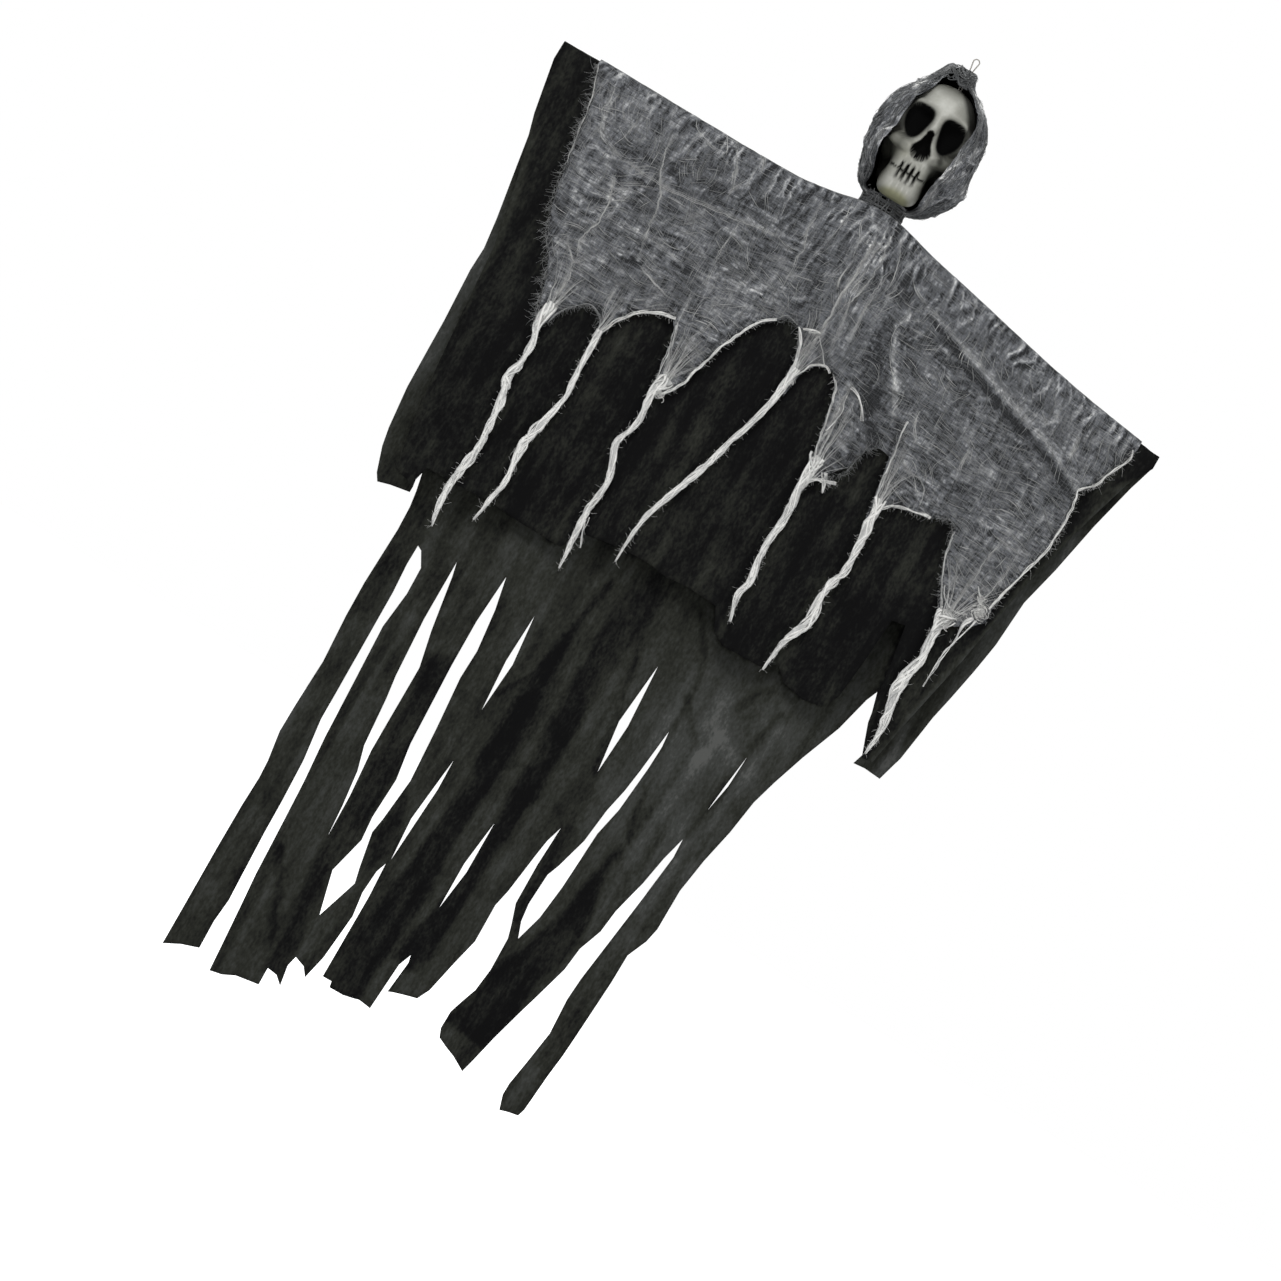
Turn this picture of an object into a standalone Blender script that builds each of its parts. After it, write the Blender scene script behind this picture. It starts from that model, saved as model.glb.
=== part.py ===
"""A hanging fabric ghost: a moulded skull in a gauze hood, over a robe and a torn cape hung on a bent wire.

Lengths are in millimetres up to mesh_object(), which turns them into metres. +Z is up and the ghost looks
along -Y. The origin is the top of the hanging loop. Heights in the outlines are measured from the top of
the hood, because that is where a tape measure starts, and at() takes them down by the loop's height.
"""

import math

import bmesh
import bpy
import numpy as np
from mathutils import Vector
from mathutils.geometry import delaunay_2d_cdt

MM = 0.001

# Driving dimensions
SPAN = 569.0  # across the shoulders, from one sleeve's end to the other's
DROP = 916.0  # from the hood's top to the lowest strip's end
LOOP_HEIGHT = 12.0  # hood top to loop top
STRING_THICK = 1.0
STRING_APART = 2.2  # centre to centre of the two strands where they leave the skull
LOOP_WIDE = 5.0
WIRE_THICK = 3.0
CLEAR = 0.4  # between cloth and what it lies on
FOLD_CLEAR = 0.6  # between cloth and what it is folded over
CLOTH = 1.2  # robe and cape
HOOD_CLOTH = 1.0
TAIL_THICK = 4.0  # the bunched gauze of a tail
ROBE_CELL = 34.0  # spacing of the cloth's points
CAPE_CELL = 23.0
FOLD_STEP = 26.0  # spacing of the points along the shoulder fold
LAYER_STEP = 4.5  # from the robe's front to the cape, away from the fold

NECK_X = -5.0
NECK_HALF = 16.5  # outer radius of the gathered hood at the neck
NECK_BELOW_WIRE = 9.0  # neck post below the wire's axis
NECK_BULGE = NECK_HALF + 0.5  # how far the cloth stands out round the gathered neck
BULGE_WIDTH = 22.0
BULGE_DROP = 80.0
NECK_HOLE = 2 * NECK_HALF + 11.0  # length of the neck opening along the shoulder fold
NECK_REACH = 40.0  # the wire's rise over the neck, to each side, which keeps its size
OPEN_OUT = 9.0  # how far the robe stands out from the wire's plane
OPEN_DROP = 130.0  # and how far down that takes
LOOSE_DROP = 260.0  # below the wire, where the waves reach their full size
WAVES = [(3.2, 31.0, 210.0, 1.0), (2.4, 19.5, -160.0, 0.0)]  # size, width, lean and the sides' difference
SETTLE = 12.0  # how far below the fold a sheet reaches its full distance from the one under it
CAPE_RIDGES = [  # start, end, height and width of the cape's folds
    ((-215, -196), (-70, -191), 5.0, 13.0),
    ((75, -186), (235, -236), 6.5, 14.0),
    ((45, -205), (88, -268), 5.0, 13.0),
    ((-6, -170), (0, -245), 4.0, 10.0),
]
PLEATS = 6
PLEAT_DEPTH = 1.5  # half of a pleat's height
TIE_THICK = 2.2
TIE_HEIGHT = -127.4

STRING_X = 0.0
SKULL_X = -1.6
SKULL_TOP = -18.0
CRANIUM = (35.0, 38.0, 36.0)  # half width, depth and height
SOCKET_APART = 33.4
SOCKET_HEIGHT = -60.4
SOCKET = (9.9, 12.0, 12.6)
SOCKET_LEAN = 0.24  # the eye sockets' feet lie further apart than their tops
CHEEK = 31.0  # half the width over the cheekbones' middles
JAW_HALF = 17.0
CHIN_HEIGHT = -112.0
MOUTH_HEIGHT = -100.3
MOUTH_WIDE = 31.0
MOUTH_GAP = 1.3
TOOTH_WIDE = 4.9
TEETH_HIGH = 14.8
TOOTH_GAP = 1.9
TEETH_FRONT = -40.0
CROWN_BORE = 2.2  # radius of the hole that the string goes into
CROWN_BORE_DEEP = 7.0
SKULL_FACES = 1620
HEAD_MIDDLE = -58.0

# The wire's axis across the shoulders: x and height
WIRE_ROUTE = [
    (-280, -146.0), (-245, -145.2), (-150, -145.3), (-70, -144.3), (-40, -139.6), (-27, -136.5),
    (-16, -135.0), (6, -135.0), (17, -136.2), (27, -138.4), (50, -144.3), (100, -154.4), (150, -165.2),
    (200, -174.8), (250, -182.0), (279, -185.6),
]

# Hood from the crown to the neck: height, left side, right side, left and right edge of the face opening
HOOD = [
    (-0.6, STRING_X - 6.5, STRING_X + 6.3, STRING_X, STRING_X), (-2.0, -16, 6.8, -5, -4.5),
    (-7, -20.5, 8, -10, -4), (-13, -23.5, 13, -13, 2),
    (-20, -27, 22, -16.5, 12), (-28, -33, 31, -18, 19), (-36, -38.5, 38, -21, 24),
    (-45, -42.5, 42.5, -25, 26), (-58, -45.5, 44, -27.5, 24.5), (-72, -45.8, 44.6, -28, 22.8),
    (-86, -44.3, 45.4, -31, 21),
    (-98, -41.5, 42, -29.5, 19), (-108, -38, 34.5, -26, 17.5), (-116, -34, 27.5, -25, 17.5),
    (-121, -28, 18, -24.5, 14.8), (-125.6, NECK_X - NECK_HALF, NECK_X + NECK_HALF, -14, 5),
    (-132.4, NECK_X - NECK_HALF, NECK_X + NECK_HALF, -10, 1),
]
HOOD_FRONT, HOOD_BACK, HOOD_Y = 1.12, 1.14, 3.0  # depth to width, in front and behind, and the middle

# Robe front, left to right along its hem
FRONT_HEM = [
    (-286, -160), (-277, -205), (-262, -255), (-250, -310), (-243, -380), (-236, -445), (-226, -500),
    (-209, -504), (-205, -487), (-170, -485), (-84, -486), (-74, -468), (-42, -463), (44, -463), (54, -482),
    (66, -487), (98, -486), (110, -477), (120, -486), (140, -491), (158, -486), (166, -462), (169, -402),
    (179, -400), (186, -440), (193, -480), (203, -506), (212, -505), (218, -470), (232, -400), (243, -330),
    (256, -270), (272, -215), (283, -194),
]
# Robe back with its sleeves and strips, left to right
BACK_HEM = [
    (-286, -160), (-278, -197), (-269, -245), (-261, -290), (-257.5, -335), (-254, -410), (-250, -475),
    (-243, -500), (-235, -516), (-222, -512), (-209, -507), (-212, -487), (-216, -455), (-213, -456),
    (-209, -484), (-205, -507), (-202.5, -540), (-202, -620), (-200, -700), (-196, -750), (-195, -830),
    (-193, -916), (-166, -904), (-166, -875), (-169, -800), (-174, -730), (-178, -650), (-181, -575),
    (-181, -545), (-176, -546), (-171, -560), (-173, -615), (-168, -700), (-161, -780), (-155, -860),
    (-150, -915), (-130, -908), (-111, -905), (-111.5, -890), (-96, -897), (-97, -871), (-82.5, -881),
    (-77, -845), (-77, -790), (-74, -772), (-71, -800), (-71, -873), (-50, -878), (-26, -876.5),
    (-23, -845), (-20.5, -824), (-18.5, -832), (-21, -858), (2, -850.5), (11, -820), (18, -785),
    (24, -705), (30, -676), (30, -745), (38, -765), (40, -805), (33, -835), (30, -860), (40, -870),
    (62, -880), (70, -845), (82, -800), (91, -750), (101, -710), (111, -660), (117, -633), (118, -650),
    (111, -720), (104.5, -785), (105.5, -825), (99.5, -875), (103, -892), (118, -888.5), (121.5, -865),
    (125, -810), (127, -745), (136, -700), (137, -660), (143, -625), (150, -580), (165, -530),
    (178, -495), (185, -465), (188, -452), (193, -465), (200, -492), (205, -505), (212, -513),
    (226, -513), (232, -490), (240, -430), (249, -385), (250, -350), (261, -300), (270, -243),
    (283, -194),
]
# Gaps between strips that touch again below
SLITS = [
    [
        (-149, -538), (-146, -550), (-136, -600), (-130.5, -640), (-127, -730), (-125, -778), (-133, -715),
        (-142, -655), (-148, -590),
    ],
    [
        (-109, -528), (-103, -555), (-98.5, -600), (-94.5, -670), (-91, -705), (-96, -750), (-87, -797),
        (-98, -833), (-107, -797), (-101, -745), (-105, -690), (-111, -590),
    ],
    [(-70, -673), (-69, -700), (-72, -764), (-75, -730)],
    [(-74, -543), (-69, -585), (-71.5, -628), (-75, -585)],
    [(-17, -700), (-16, -745), (-20, -780), (-21, -740)],
    [(30, -527), (34, -580), (32, -623), (26, -580)],
    [
        (64, -567), (64.5, -610), (59, -665), (54, -735), (47, -768), (39, -735), (44, -702), (53, -655),
        (60, -605),
    ],
]

# Cape front: straight stretches of the torn hem, and tails as centre lines with a width at each point
LEFT_TEAR = [(-254, -150), (-244, -170), (-236, -215), (-227, -260), (-216, -287), (-203, -308), (-196, -328)]
RIGHT_TEAR = [(232, -368), (230, -345), (241, -308), (244, -262), (248, -235), (256, -212), (265, -188)]
TAILS = [
    [(-187, -332, 11), (-186, -375, 7), (-181, -418, 7), (-180, -455, 7), (-182, -490, 6), (-179, -522, 3)],
    [(-144, -326, 8), (-142, -380, 6), (-149, -432, 9), (-149, -470, 6), (-153, -502, 3)],
    [(-78, -312, 26), (-78, -336, 12), (-86, -390, 6), (-79, -425, 6), (-78, -465, 7), (-76, -498, 3)],
    [(3, -279, 8), (-4, -320, 6), (-20, -375, 6), (-36, -424, 6), (-41, -472, 3)],
    [(62, -328, 26), (55, -350, 9), (54, -405, 7), (56, -440, 8), (59, -466, 4)],
    [(112, -328, 12), (116, -375, 7), (112, -425, 8), (105, -458, 8), (101, -486, 4)],
    [(212, -372, 34), (202, -390, 11), (200, -440, 7), (204, -475, 7), (203, -500, 3)],
]
ARCHES = [
    [(-172, -322), (-160, -312), (-149, -317)],
    [(-137, -312), (-124, -297), (-105, -289), (-94, -297)],
    [(-60, -300), (-47, -265), (-33, -250), (-20, -240), (-6, -254)],
    [(9, -268), (22, -260), (36, -266), (45, -305)],
    [(77, -318), (81, -298), (97, -291), (105, -310)],
    [(124, -323), (142, -319), (168, -312), (184, -353)],
]
CAPE_BACK_HEM = [
    (-254, -150), (-246, -220), (-238, -290), (-205, -325), (-160, -318), (-110, -332), (-60, -320),
    (-10, -336), (45, -322), (95, -334), (150, -318), (205, -322), (248, -300), (255, -240), (265, -188),
]


def material(name, colour, roughness, metallic=0.0):
    made = bpy.data.materials.new(name)
    made.use_nodes = True
    shader = made.node_tree.nodes["Principled BSDF"]
    shader.inputs["Base Color"].default_value = (*colour, 1.0)
    shader.inputs["Roughness"].default_value = roughness
    shader.inputs["Metallic"].default_value = metallic
    made.diffuse_color = (*colour, 1.0)
    return made


def at(x, y, height):
    """A point in millimetres in the part's frame, from a height below the hood's top."""
    return x, y, height - LOOP_HEIGHT


def mesh_object(name, points, faces, finish):
    mesh = bpy.data.meshes.new(name)
    mesh.from_pydata([Vector(p) * MM for p in points], [], faces)
    mesh.materials.append(finish)
    mesh.shade_smooth()
    made = bpy.data.objects.new(name, mesh)
    bpy.context.scene.collection.objects.link(made)
    return made


def solidify(made, thick, thin_share=None):
    """Gives a sheet its thickness, half to each side: all of it where "bunched", and elsewhere thin_share."""
    layer = made.modifiers.new("cloth thickness", "SOLIDIFY")
    layer.thickness = thick * MM
    layer.offset = 0.0
    layer.use_even_offset = False
    if thin_share is not None:
        layer.vertex_group = "bunched"
        layer.thickness_vertex_group = thin_share


def tube(name, route, thick, resolution, finish):
    """A round bar along the points of route, with closed ends."""
    curve = bpy.data.curves.new(name, "CURVE")
    curve.dimensions = "3D"
    curve.bevel_depth = thick / 2 * MM
    curve.bevel_resolution = resolution
    curve.use_fill_caps = True
    spline = curve.splines.new("POLY")
    spline.points.add(len(route) - 1)
    for point, place in zip(spline.points, route):
        point.co = (*(Vector(place) * MM), 1.0)
    curve.materials.append(finish)
    made = bpy.data.objects.new(name, curve)
    bpy.context.scene.collection.objects.link(made)
    return made


def through(points, step):
    """Points about step apart on a smooth curve through the given points."""
    points = np.array(points, float)
    padded = np.vstack([2 * points[0] - points[1], points, 2 * points[-1] - points[-2]])
    found = []
    for a, b, c, d in zip(padded, padded[1:], padded[2:], padded[3:]):
        count = max(1, round(float(np.linalg.norm(c - b)) / step))
        for t in np.arange(count)[:, None] / count:
            bend = (2 * a - 5 * b + 4 * c - d) * t**2 + (3 * b - a - 3 * c + d) * t**3
            found.extend(0.5 * (2 * b + (c - a) * t + bend))
    return np.vstack([np.array(found).reshape(-1, points.shape[1]), points[-1]])


DRAWN_SPAN, DRAWN_DROP = 569.0, 916.0  # the sizes at which the outlines above are drawn
FIRST_SIZED = -194.0  # the drop changes the outlines below this height only


def sized(x, height):
    """A point of an outline at the part's own span and drop."""
    off = x - NECK_X
    wider = (SPAN - 2 * NECK_REACH) / (DRAWN_SPAN - 2 * NECK_REACH) - 1
    longer = (DROP + FIRST_SIZED) / (DRAWN_DROP + FIRST_SIZED) - 1
    x += math.copysign(max(abs(off) - NECK_REACH, 0.0) * wider, off)
    return x, height + min(height - FIRST_SIZED, 0.0) * longer


WIRE_LINE = through([sized(x, height) for x, height in WIRE_ROUTE], FOLD_STEP)
FOLD_TURNS = (-1.0, -0.5, 0.0, 0.5, 1.0)  # places round the shoulder fold, as shares of a quarter turn
ROBE_FOLD = WIRE_THICK / 2 + FOLD_CLEAR + CLOTH / 2
CAPE_FOLD = ROBE_FOLD + FOLD_CLEAR + CLOTH


def wire_height(x):
    return np.interp(x, WIRE_LINE[:, 0], WIRE_LINE[:, 1])


def swing(x, below, side):
    """How far the robe's front (side 1) or back (side -1) stands off the shoulder fold, below the wire."""
    open_out = OPEN_OUT * (1 - np.exp(-below / OPEN_DROP))
    loose = np.minimum(below / LOOSE_DROP, 1.0)
    waves = sum(size * np.sin(x / wide + below / lean + turn * side) for size, wide, lean, turn in WAVES)
    bulge = NECK_BULGE * np.exp(-(((x - NECK_X) / BULGE_WIDTH) ** 2)) * np.exp(-below / BULGE_DROP)
    return open_out + loose * waves + bulge


def hung(x, along, fold, apart=0.0, extra=None):
    """The place of a sheet's point. Along is measured over the shoulder fold, down the front if positive."""
    quarter = fold * math.pi / 2
    side = 1.0 if along >= 0 else -1.0
    angle = min(abs(along), quarter) / fold
    below = max(abs(along) - quarter, 0.0)
    height = float(wire_height(x)) + fold * math.cos(angle) - below
    by_neck = math.exp(-(((x - NECK_X) / BULGE_WIDTH / 1.4) ** 2)) * math.sin(angle)
    settled = max(1 - math.exp(-below / SETTLE), by_neck)
    out = float(swing(x, below, side)) * math.sin(angle) + apart * settled
    if extra:
        out += extra(x, height, side) * settled
    return at(x, -side * (fold * math.sin(angle) + out), height)


def unfolded(points, fold, side):
    """An outline's (x, height) as the flat sheet's (x, along)."""
    quarter = fold * math.pi / 2
    points = [sized(x, height) for x, height in points]
    return [(x, side * (quarter + float(wire_height(x)) - height)) for x, height in points]


def over_fold(front, back, fold):
    """The flat outline of a folded sheet, from its front's and its back's left-to-right edges."""
    quarter = fold * math.pi / 2
    left, right = sized(*front[0])[0], sized(*front[-1])[0]
    down = unfolded(front, fold, 1) + [(right, quarter * turn) for turn in FOLD_TURNS[::-1]]
    return down + unfolded(back, fold, -1)[::-1] + [(left, quarter * turn) for turn in FOLD_TURNS]


def inside(points, outline):
    """Whether each point lies inside a closed outline."""
    found = np.zeros(len(points), bool)
    ends = np.roll(outline, -1, axis=0)
    for (ax, ay), (bx, by) in zip(outline, ends):
        crosses = (ay > points[:, 1]) != (by > points[:, 1])
        slope = (bx - ax) / (by - ay) if by != ay else 0.0
        found ^= crosses & (points[:, 0] < ax + slope * (points[:, 1] - ay))
    return found


def nearest(points, outline):
    """The distance from each point to a closed outline."""
    found = np.full(len(points), np.inf)
    for a, b in zip(outline, np.roll(outline, -1, axis=0)):
        run = b - a
        share = np.clip((points - a) @ run / max(run @ run, 1e-9), 0, 1)
        found = np.minimum(found, np.linalg.norm(points - a - share[:, None] * run, axis=1))
    return found


def stepped(outline, step):
    """The outline's corners with points added so that no side is longer than step."""
    found = []
    for a, b in zip(outline, outline[1:] + outline[:1]):
        count = max(1, math.ceil(math.dist(a, b) / step))
        found += [tuple(np.array(a) + (np.array(b) - a) * k / count) for k in range(count)]
    return np.array(found)


def cut_sheet(outline, holes, cell, fold):
    """The flat cut as triangles: points (x, along) and faces, with rows of points along the shoulder fold."""
    edge = stepped(outline, cell)
    loops = [edge] + [stepped(hole, cell) for hole in holes]
    low, high = edge.min(axis=0), edge.max(axis=0)
    quarter = fold * math.pi / 2
    rows = np.arange(low[1], high[1], cell * math.sqrt(0.75))
    grid = [
        (x + cell / 2 * (k % 2), row)
        for k, row in enumerate(rows)
        if abs(row) > quarter + cell / 2
        for x in np.arange(low[0], high[0], cell)
    ]
    folds = [
        (x, quarter * turn) for turn in FOLD_TURNS for x in WIRE_LINE[:, 0]
    ]

    def kept(points, share):
        points = np.array(points)
        clear = np.min([nearest(points, loop) for loop in loops], axis=0) > share * cell
        clear &= inside(points, edge)
        for hole in loops[1:]:
            clear &= ~inside(points, hole)
        return points[clear]

    points, edges = [], []
    for loop in loops:
        first, count = len(points), len(loop)
        points += [Vector(p) for p in loop]
        edges += [(first + k, first + (k + 1) % count) for k in range(count)]
    points += [Vector(p) for p in np.vstack([kept(grid, 0.45), kept(folds, 0.12)])]
    flat, _, faces, *_ = delaunay_2d_cdt(points, edges, [], 0, 1e-6)
    middles = np.array([sum((flat[k] for k in face), Vector((0, 0))) / 3 for face in faces])
    keep = inside(middles, edge)
    for hole in loops[1:]:
        keep &= ~inside(middles, hole)
    return flat, [face for face, wanted in zip(faces, keep) if wanted]


def neck_hole(fold):
    """The opening on the shoulder fold that the neck comes through, in the flat sheet."""
    half, high = NECK_HOLE / 2 + 2 * (fold - ROBE_FOLD), fold * 1.3
    turns = [k * math.tau / 14 for k in range(14)]
    return [(NECK_X + half * math.cos(turn), high * math.sin(turn)) for turn in turns]


def sheet_object(name, outline, holes, cell, fold, finish, apart=0.0, extra=None):
    flat, faces = cut_sheet(outline, holes, cell, fold)
    used = sorted({k for face in faces for k in face})
    number = {old: new for new, old in enumerate(used)}
    points = [hung(flat[k].x, flat[k].y, fold, apart, extra) for k in used]
    made = mesh_object(name, points, [[number[k] for k in face] for face in faces], finish)
    return made, [flat[k] for k in used]


def robe(finish):
    """One length of cloth folded over the wire: a short front, and a long back torn into strips."""
    outline = over_fold(FRONT_HEM, BACK_HEM, ROBE_FOLD)
    slits = [unfolded(slit, ROBE_FOLD, -1) for slit in SLITS]
    holes = [neck_hole(ROBE_FOLD)] + slits
    made, _ = sheet_object("robe", outline, holes, ROBE_CELL, ROBE_FOLD, finish)
    solidify(made, CLOTH)


def ridge(x, height, start, end, high, wide):
    """The height of a soft ridge that runs from start to end across the cloth."""
    a, b = np.array(start, float), np.array(end, float)
    run = b - a
    share = min(max(float((np.array([x, height]) - a) @ run / (run @ run)), 0.0), 1.0)
    off = math.dist((x, height), a + share * run)
    return high * math.exp(-((off / wide) ** 2))


def cape_folds(x, height, side):
    if side < 0:
        return 0.0
    ridges = [(sized(*start), sized(*end), high, wide) for start, end, high, wide in CAPE_RIDGES]
    return sum(ridge(x, height, *fold) for fold in ridges)


def tongue(tail):
    """A tail's outline: down its left side and up its right."""
    left = [(x - wide / 2, height) for x, height, wide in tail]
    right = [(x + wide / 2, height) for x, height, wide in tail[::-1]]
    return left + right


def cape(finish):
    """Gauze folded over the robe, its front torn into arches with twisted tails between them."""
    hem = list(LEFT_TEAR)
    for tail, arch in zip(TAILS, ARCHES + [[]]):
        hem += tongue(tail) + arch
    outline = over_fold(hem + RIGHT_TEAR, CAPE_BACK_HEM, CAPE_FOLD)
    made, flat = sheet_object(
        "gauze_cape", outline, [neck_hole(CAPE_FOLD)], CAPE_CELL, CAPE_FOLD, finish, LAYER_STEP, cape_folds
    )
    bunched = made.vertex_groups.new(name="bunched")
    roots = [-sized(*tail[0][:2])[1] for tail in TAILS]
    lanes = [sized(*tail[2][:2])[0] for tail in TAILS]
    for k, (x, along) in enumerate(flat):
        below = along - CAPE_FOLD * math.pi / 2 - float(wire_height(x))
        nearest_tail = min(range(len(TAILS)), key=lambda n: abs(lanes[n] - x))
        weight = min(max((below - roots[nearest_tail] - 8) / 40.0, 0.0), 1.0)
        bunched.add([k], weight, "REPLACE")
    solidify(made, TAIL_THICK, CLOTH / TAIL_THICK)


LINING_INSET = 3.2  # from the hood's outline to the middle of the lining
LINING_NECK_INSET = HOOD_CLOTH / 2 + 2 * PLEAT_DEPTH + HOOD_CLOTH + CLEAR
NECK_RADIUS = NECK_HALF - LINING_NECK_INSET - HOOD_CLOTH / 2 - 2 * CLEAR


def hood(name, columns, depths, edge_back, finish):
    """Cloth wrapped round the head, gathered at the crown and at the neck, open in front of the face.

    depths(gather, turn) is how far it lies under the hood's outline.
    """
    shape = []
    gathers = []
    for height, left, right, open_left, open_right in HOOD:
        half, middle = (right - left) / 2, (left + right) / 2
        shut = math.asin(min(max((middle - open_left + edge_back) / half, 0.03), 0.99))
        last = math.tau - math.asin(min(max((open_right + edge_back - middle) / half, 0.03), 0.99))
        gather = min(max((-height - 114.0) / 9.0, 0.0), 1.0)
        dip = 5.0 * max(0.0, -height - 128.0) / 4.4
        for turn in np.linspace(shut, last, columns + 1):
            deep = HOOD_FRONT if math.cos(turn) > 0 else HOOD_BACK
            deep += (1.0 - deep) * gather
            x = middle - half * math.sin(turn)
            y = HOOD_Y * (1 - gather) - half * deep * math.cos(turn)
            shape.append(at(x, y, height - dip * math.cos(turn) ** 2))
            gathers.append((gather, turn))
    shape = np.array(shape).reshape(len(HOOD), columns + 1, 3)
    outward = np.cross(np.gradient(shape, axis=1), np.gradient(shape, axis=0)).reshape(-1, 3)
    outward /= np.linalg.norm(outward, axis=1)[:, None]
    depth = np.array([depths(*place) for place in gathers])[:, None]
    points = shape.reshape(-1, 3) - outward * depth
    wide = columns + 1
    faces = [
        (r * wide + c, (r + 1) * wide + c, (r + 1) * wide + c + 1, r * wide + c + 1)
        for r in range(len(HOOD) - 1) for c in range(columns)
    ]
    solidify(mesh_object(name, points, faces, finish), HOOD_CLOTH)


def gauze_depth(gather, turn):
    return HOOD_CLOTH / 2 + gather * PLEAT_DEPTH * (1 - math.cos(PLEATS * turn))


def lining_depth(gather, turn):
    return LINING_INSET + gather * (LINING_NECK_INSET - LINING_INSET)


def ellipsoid(p, middle, radii, power=2.0):
    """The distance from an ellipsoid, which a power above 2 makes squarer."""
    q = np.abs((p - middle) / radii)
    near = np.maximum((q**power).sum(axis=1), 1e-9) ** (1 / power)
    slope = np.linalg.norm(np.maximum(q, 1e-6) ** (power - 1) / radii, axis=1)
    return (near - 1) * near ** (power - 1) / np.maximum(slope, 1e-9)


def rod(p, start, end, radius):
    run = np.array(end, float) - start
    share = np.clip((p - start) @ run / (run @ run), 0, 1)
    return np.linalg.norm(p - start - share[:, None] * run, axis=1) - radius


def blend(a, b, soft):
    share = np.clip(0.5 + 0.5 * (b - a) / soft, 0, 1)
    return b + (a - b) * share - soft * share * (1 - share)


def carve(a, b, soft):
    return -blend(-a, b, soft)


def sockets(p):
    """The distance from the two eye sockets, leaning so that their feet lie apart."""
    found = []
    for side in (-1, 1):
        x, y, z = (p - (side * SOCKET_APART / 2, -36, SOCKET_HEIGHT)).T
        across = side * x + SOCKET_LEAN * z
        place = np.stack([across, y, z - 0.1 * across], axis=-1)
        found.append(ellipsoid(place, 0.0, SOCKET, 3.4))
    return np.minimum(*found)


def nose(p):
    """The distance from the nose hole, a drop with its point up."""
    found = ellipsoid(p, (0, -38, -74.5), (4.4, 12, 11.5))
    for side in (-1, 1):
        found = blend(found, ellipsoid(p, (side * 2.9, -38, -79.5), (4.6, 12, 6.9)), 3)
    return found


def skull_form(p):
    """The distance of points p from the skull's surface, in millimetres from its own middle plane."""
    middle = SKULL_TOP - CRANIUM[2]
    form = ellipsoid(p, (0, 5, middle), CRANIUM)
    form = blend(form, ellipsoid(p, (0, -8.5, middle + 6), (26.5, 26.5, 26.5)), 9)
    form = blend(form, ellipsoid(p, (0, -12, -81), (22, 21.5, 20)), 7)
    form = blend(form, ellipsoid(p, (0, -15.5, -99), (17, 19.5, 14), 3), 4)
    form = blend(form, ellipsoid(p, (0, -19.5, CHIN_HEIGHT), (JAW_HALF, 15.5, 9.2), 2.7), 4)
    for side in (-1, 1):
        brow, temple = (side * 19, -27.5, -46.5), (side * 25, -18, -60)
        form = blend(form, rod(p, (side * 4.5, -34, -47), brow, 3.0), 4)
        form = blend(form, rod(p, brow, temple, 2.6), 4)
        cheek = (side * 22, -25.5, -79)
        form = blend(form, rod(p, (side * 11, -32, -80.5), cheek, 4.2), 4)
        form = blend(form, rod(p, cheek, (side * CHEEK, -4, -72), 4.4), 4)
        corner = (side * (JAW_HALF - 2), 2, -104)
        form = blend(form, rod(p, (side * (JAW_HALF - 7), -20, CHIN_HEIGHT + 1.5), corner, 5.0), 6)
        form = blend(form, rod(p, corner, (side * 25, 8, -77), 6.0), 5)
    form = blend(form, rod(p, (0, -33.5, -51), (0, -36.5, -64), 3.4), 3)
    for side in (-1, 1):
        form = carve(form, ellipsoid(p, (side * 40, -16, -57), (9, 18, 15)), 6)
        form = carve(form, ellipsoid(p, (side * 26, -20, -94), (8.5, 19, 9)), 5)
    form = carve(form, ellipsoid(p, (0, -38, -109), (14, 3.5, 1.6)), 3)
    form = carve(form, sockets(p), 2)
    return carve(form, nose(p), 1)


def cutter(name, size, place):
    """A box that cuts and is left out of the part."""
    half = [side / 2 for side in size]
    corners = [(x, y, z) for x in (-1, 1) for y in (-1, 1) for z in (-1, 1)]
    points = [tuple(place[k] + corner[k] * half[k] for k in range(3)) for corner in corners]
    faces = [(0, 1, 3, 2), (4, 6, 7, 5), (0, 4, 5, 1), (2, 3, 7, 6), (0, 2, 6, 4), (1, 5, 7, 3)]
    return helper(mesh_object(name, points, faces, BONE))


def helper(made):
    made.hide_render = True
    made.display_type = "WIRE"
    return made


def post(name, radius, length, place, lying=False):
    """A round bar or, as a helper, a drill: its middle is at place, and it stands or lies along X."""
    sides = 24
    turns = [k * math.tau / sides for k in range(sides)]
    points = []
    for end in (-length / 2, length / 2):
        for turn in turns:
            a, b = radius * math.cos(turn), radius * math.sin(turn)
            offset = (end, a, b) if lying else (a, b, end)
            points.append(tuple(place[k] + offset[k] for k in range(3)))
    faces = [tuple(range(sides))[::-1], tuple(range(sides, 2 * sides))]
    faces += [(k, (k + 1) % sides, sides + (k + 1) % sides, sides + k) for k in range(sides)]
    return helper(mesh_object(name, points, faces, BONE))


def boolean(made, other, operation):
    step = made.modifiers.new(other.name, "BOOLEAN")
    step.operation = operation
    step.object = other


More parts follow.
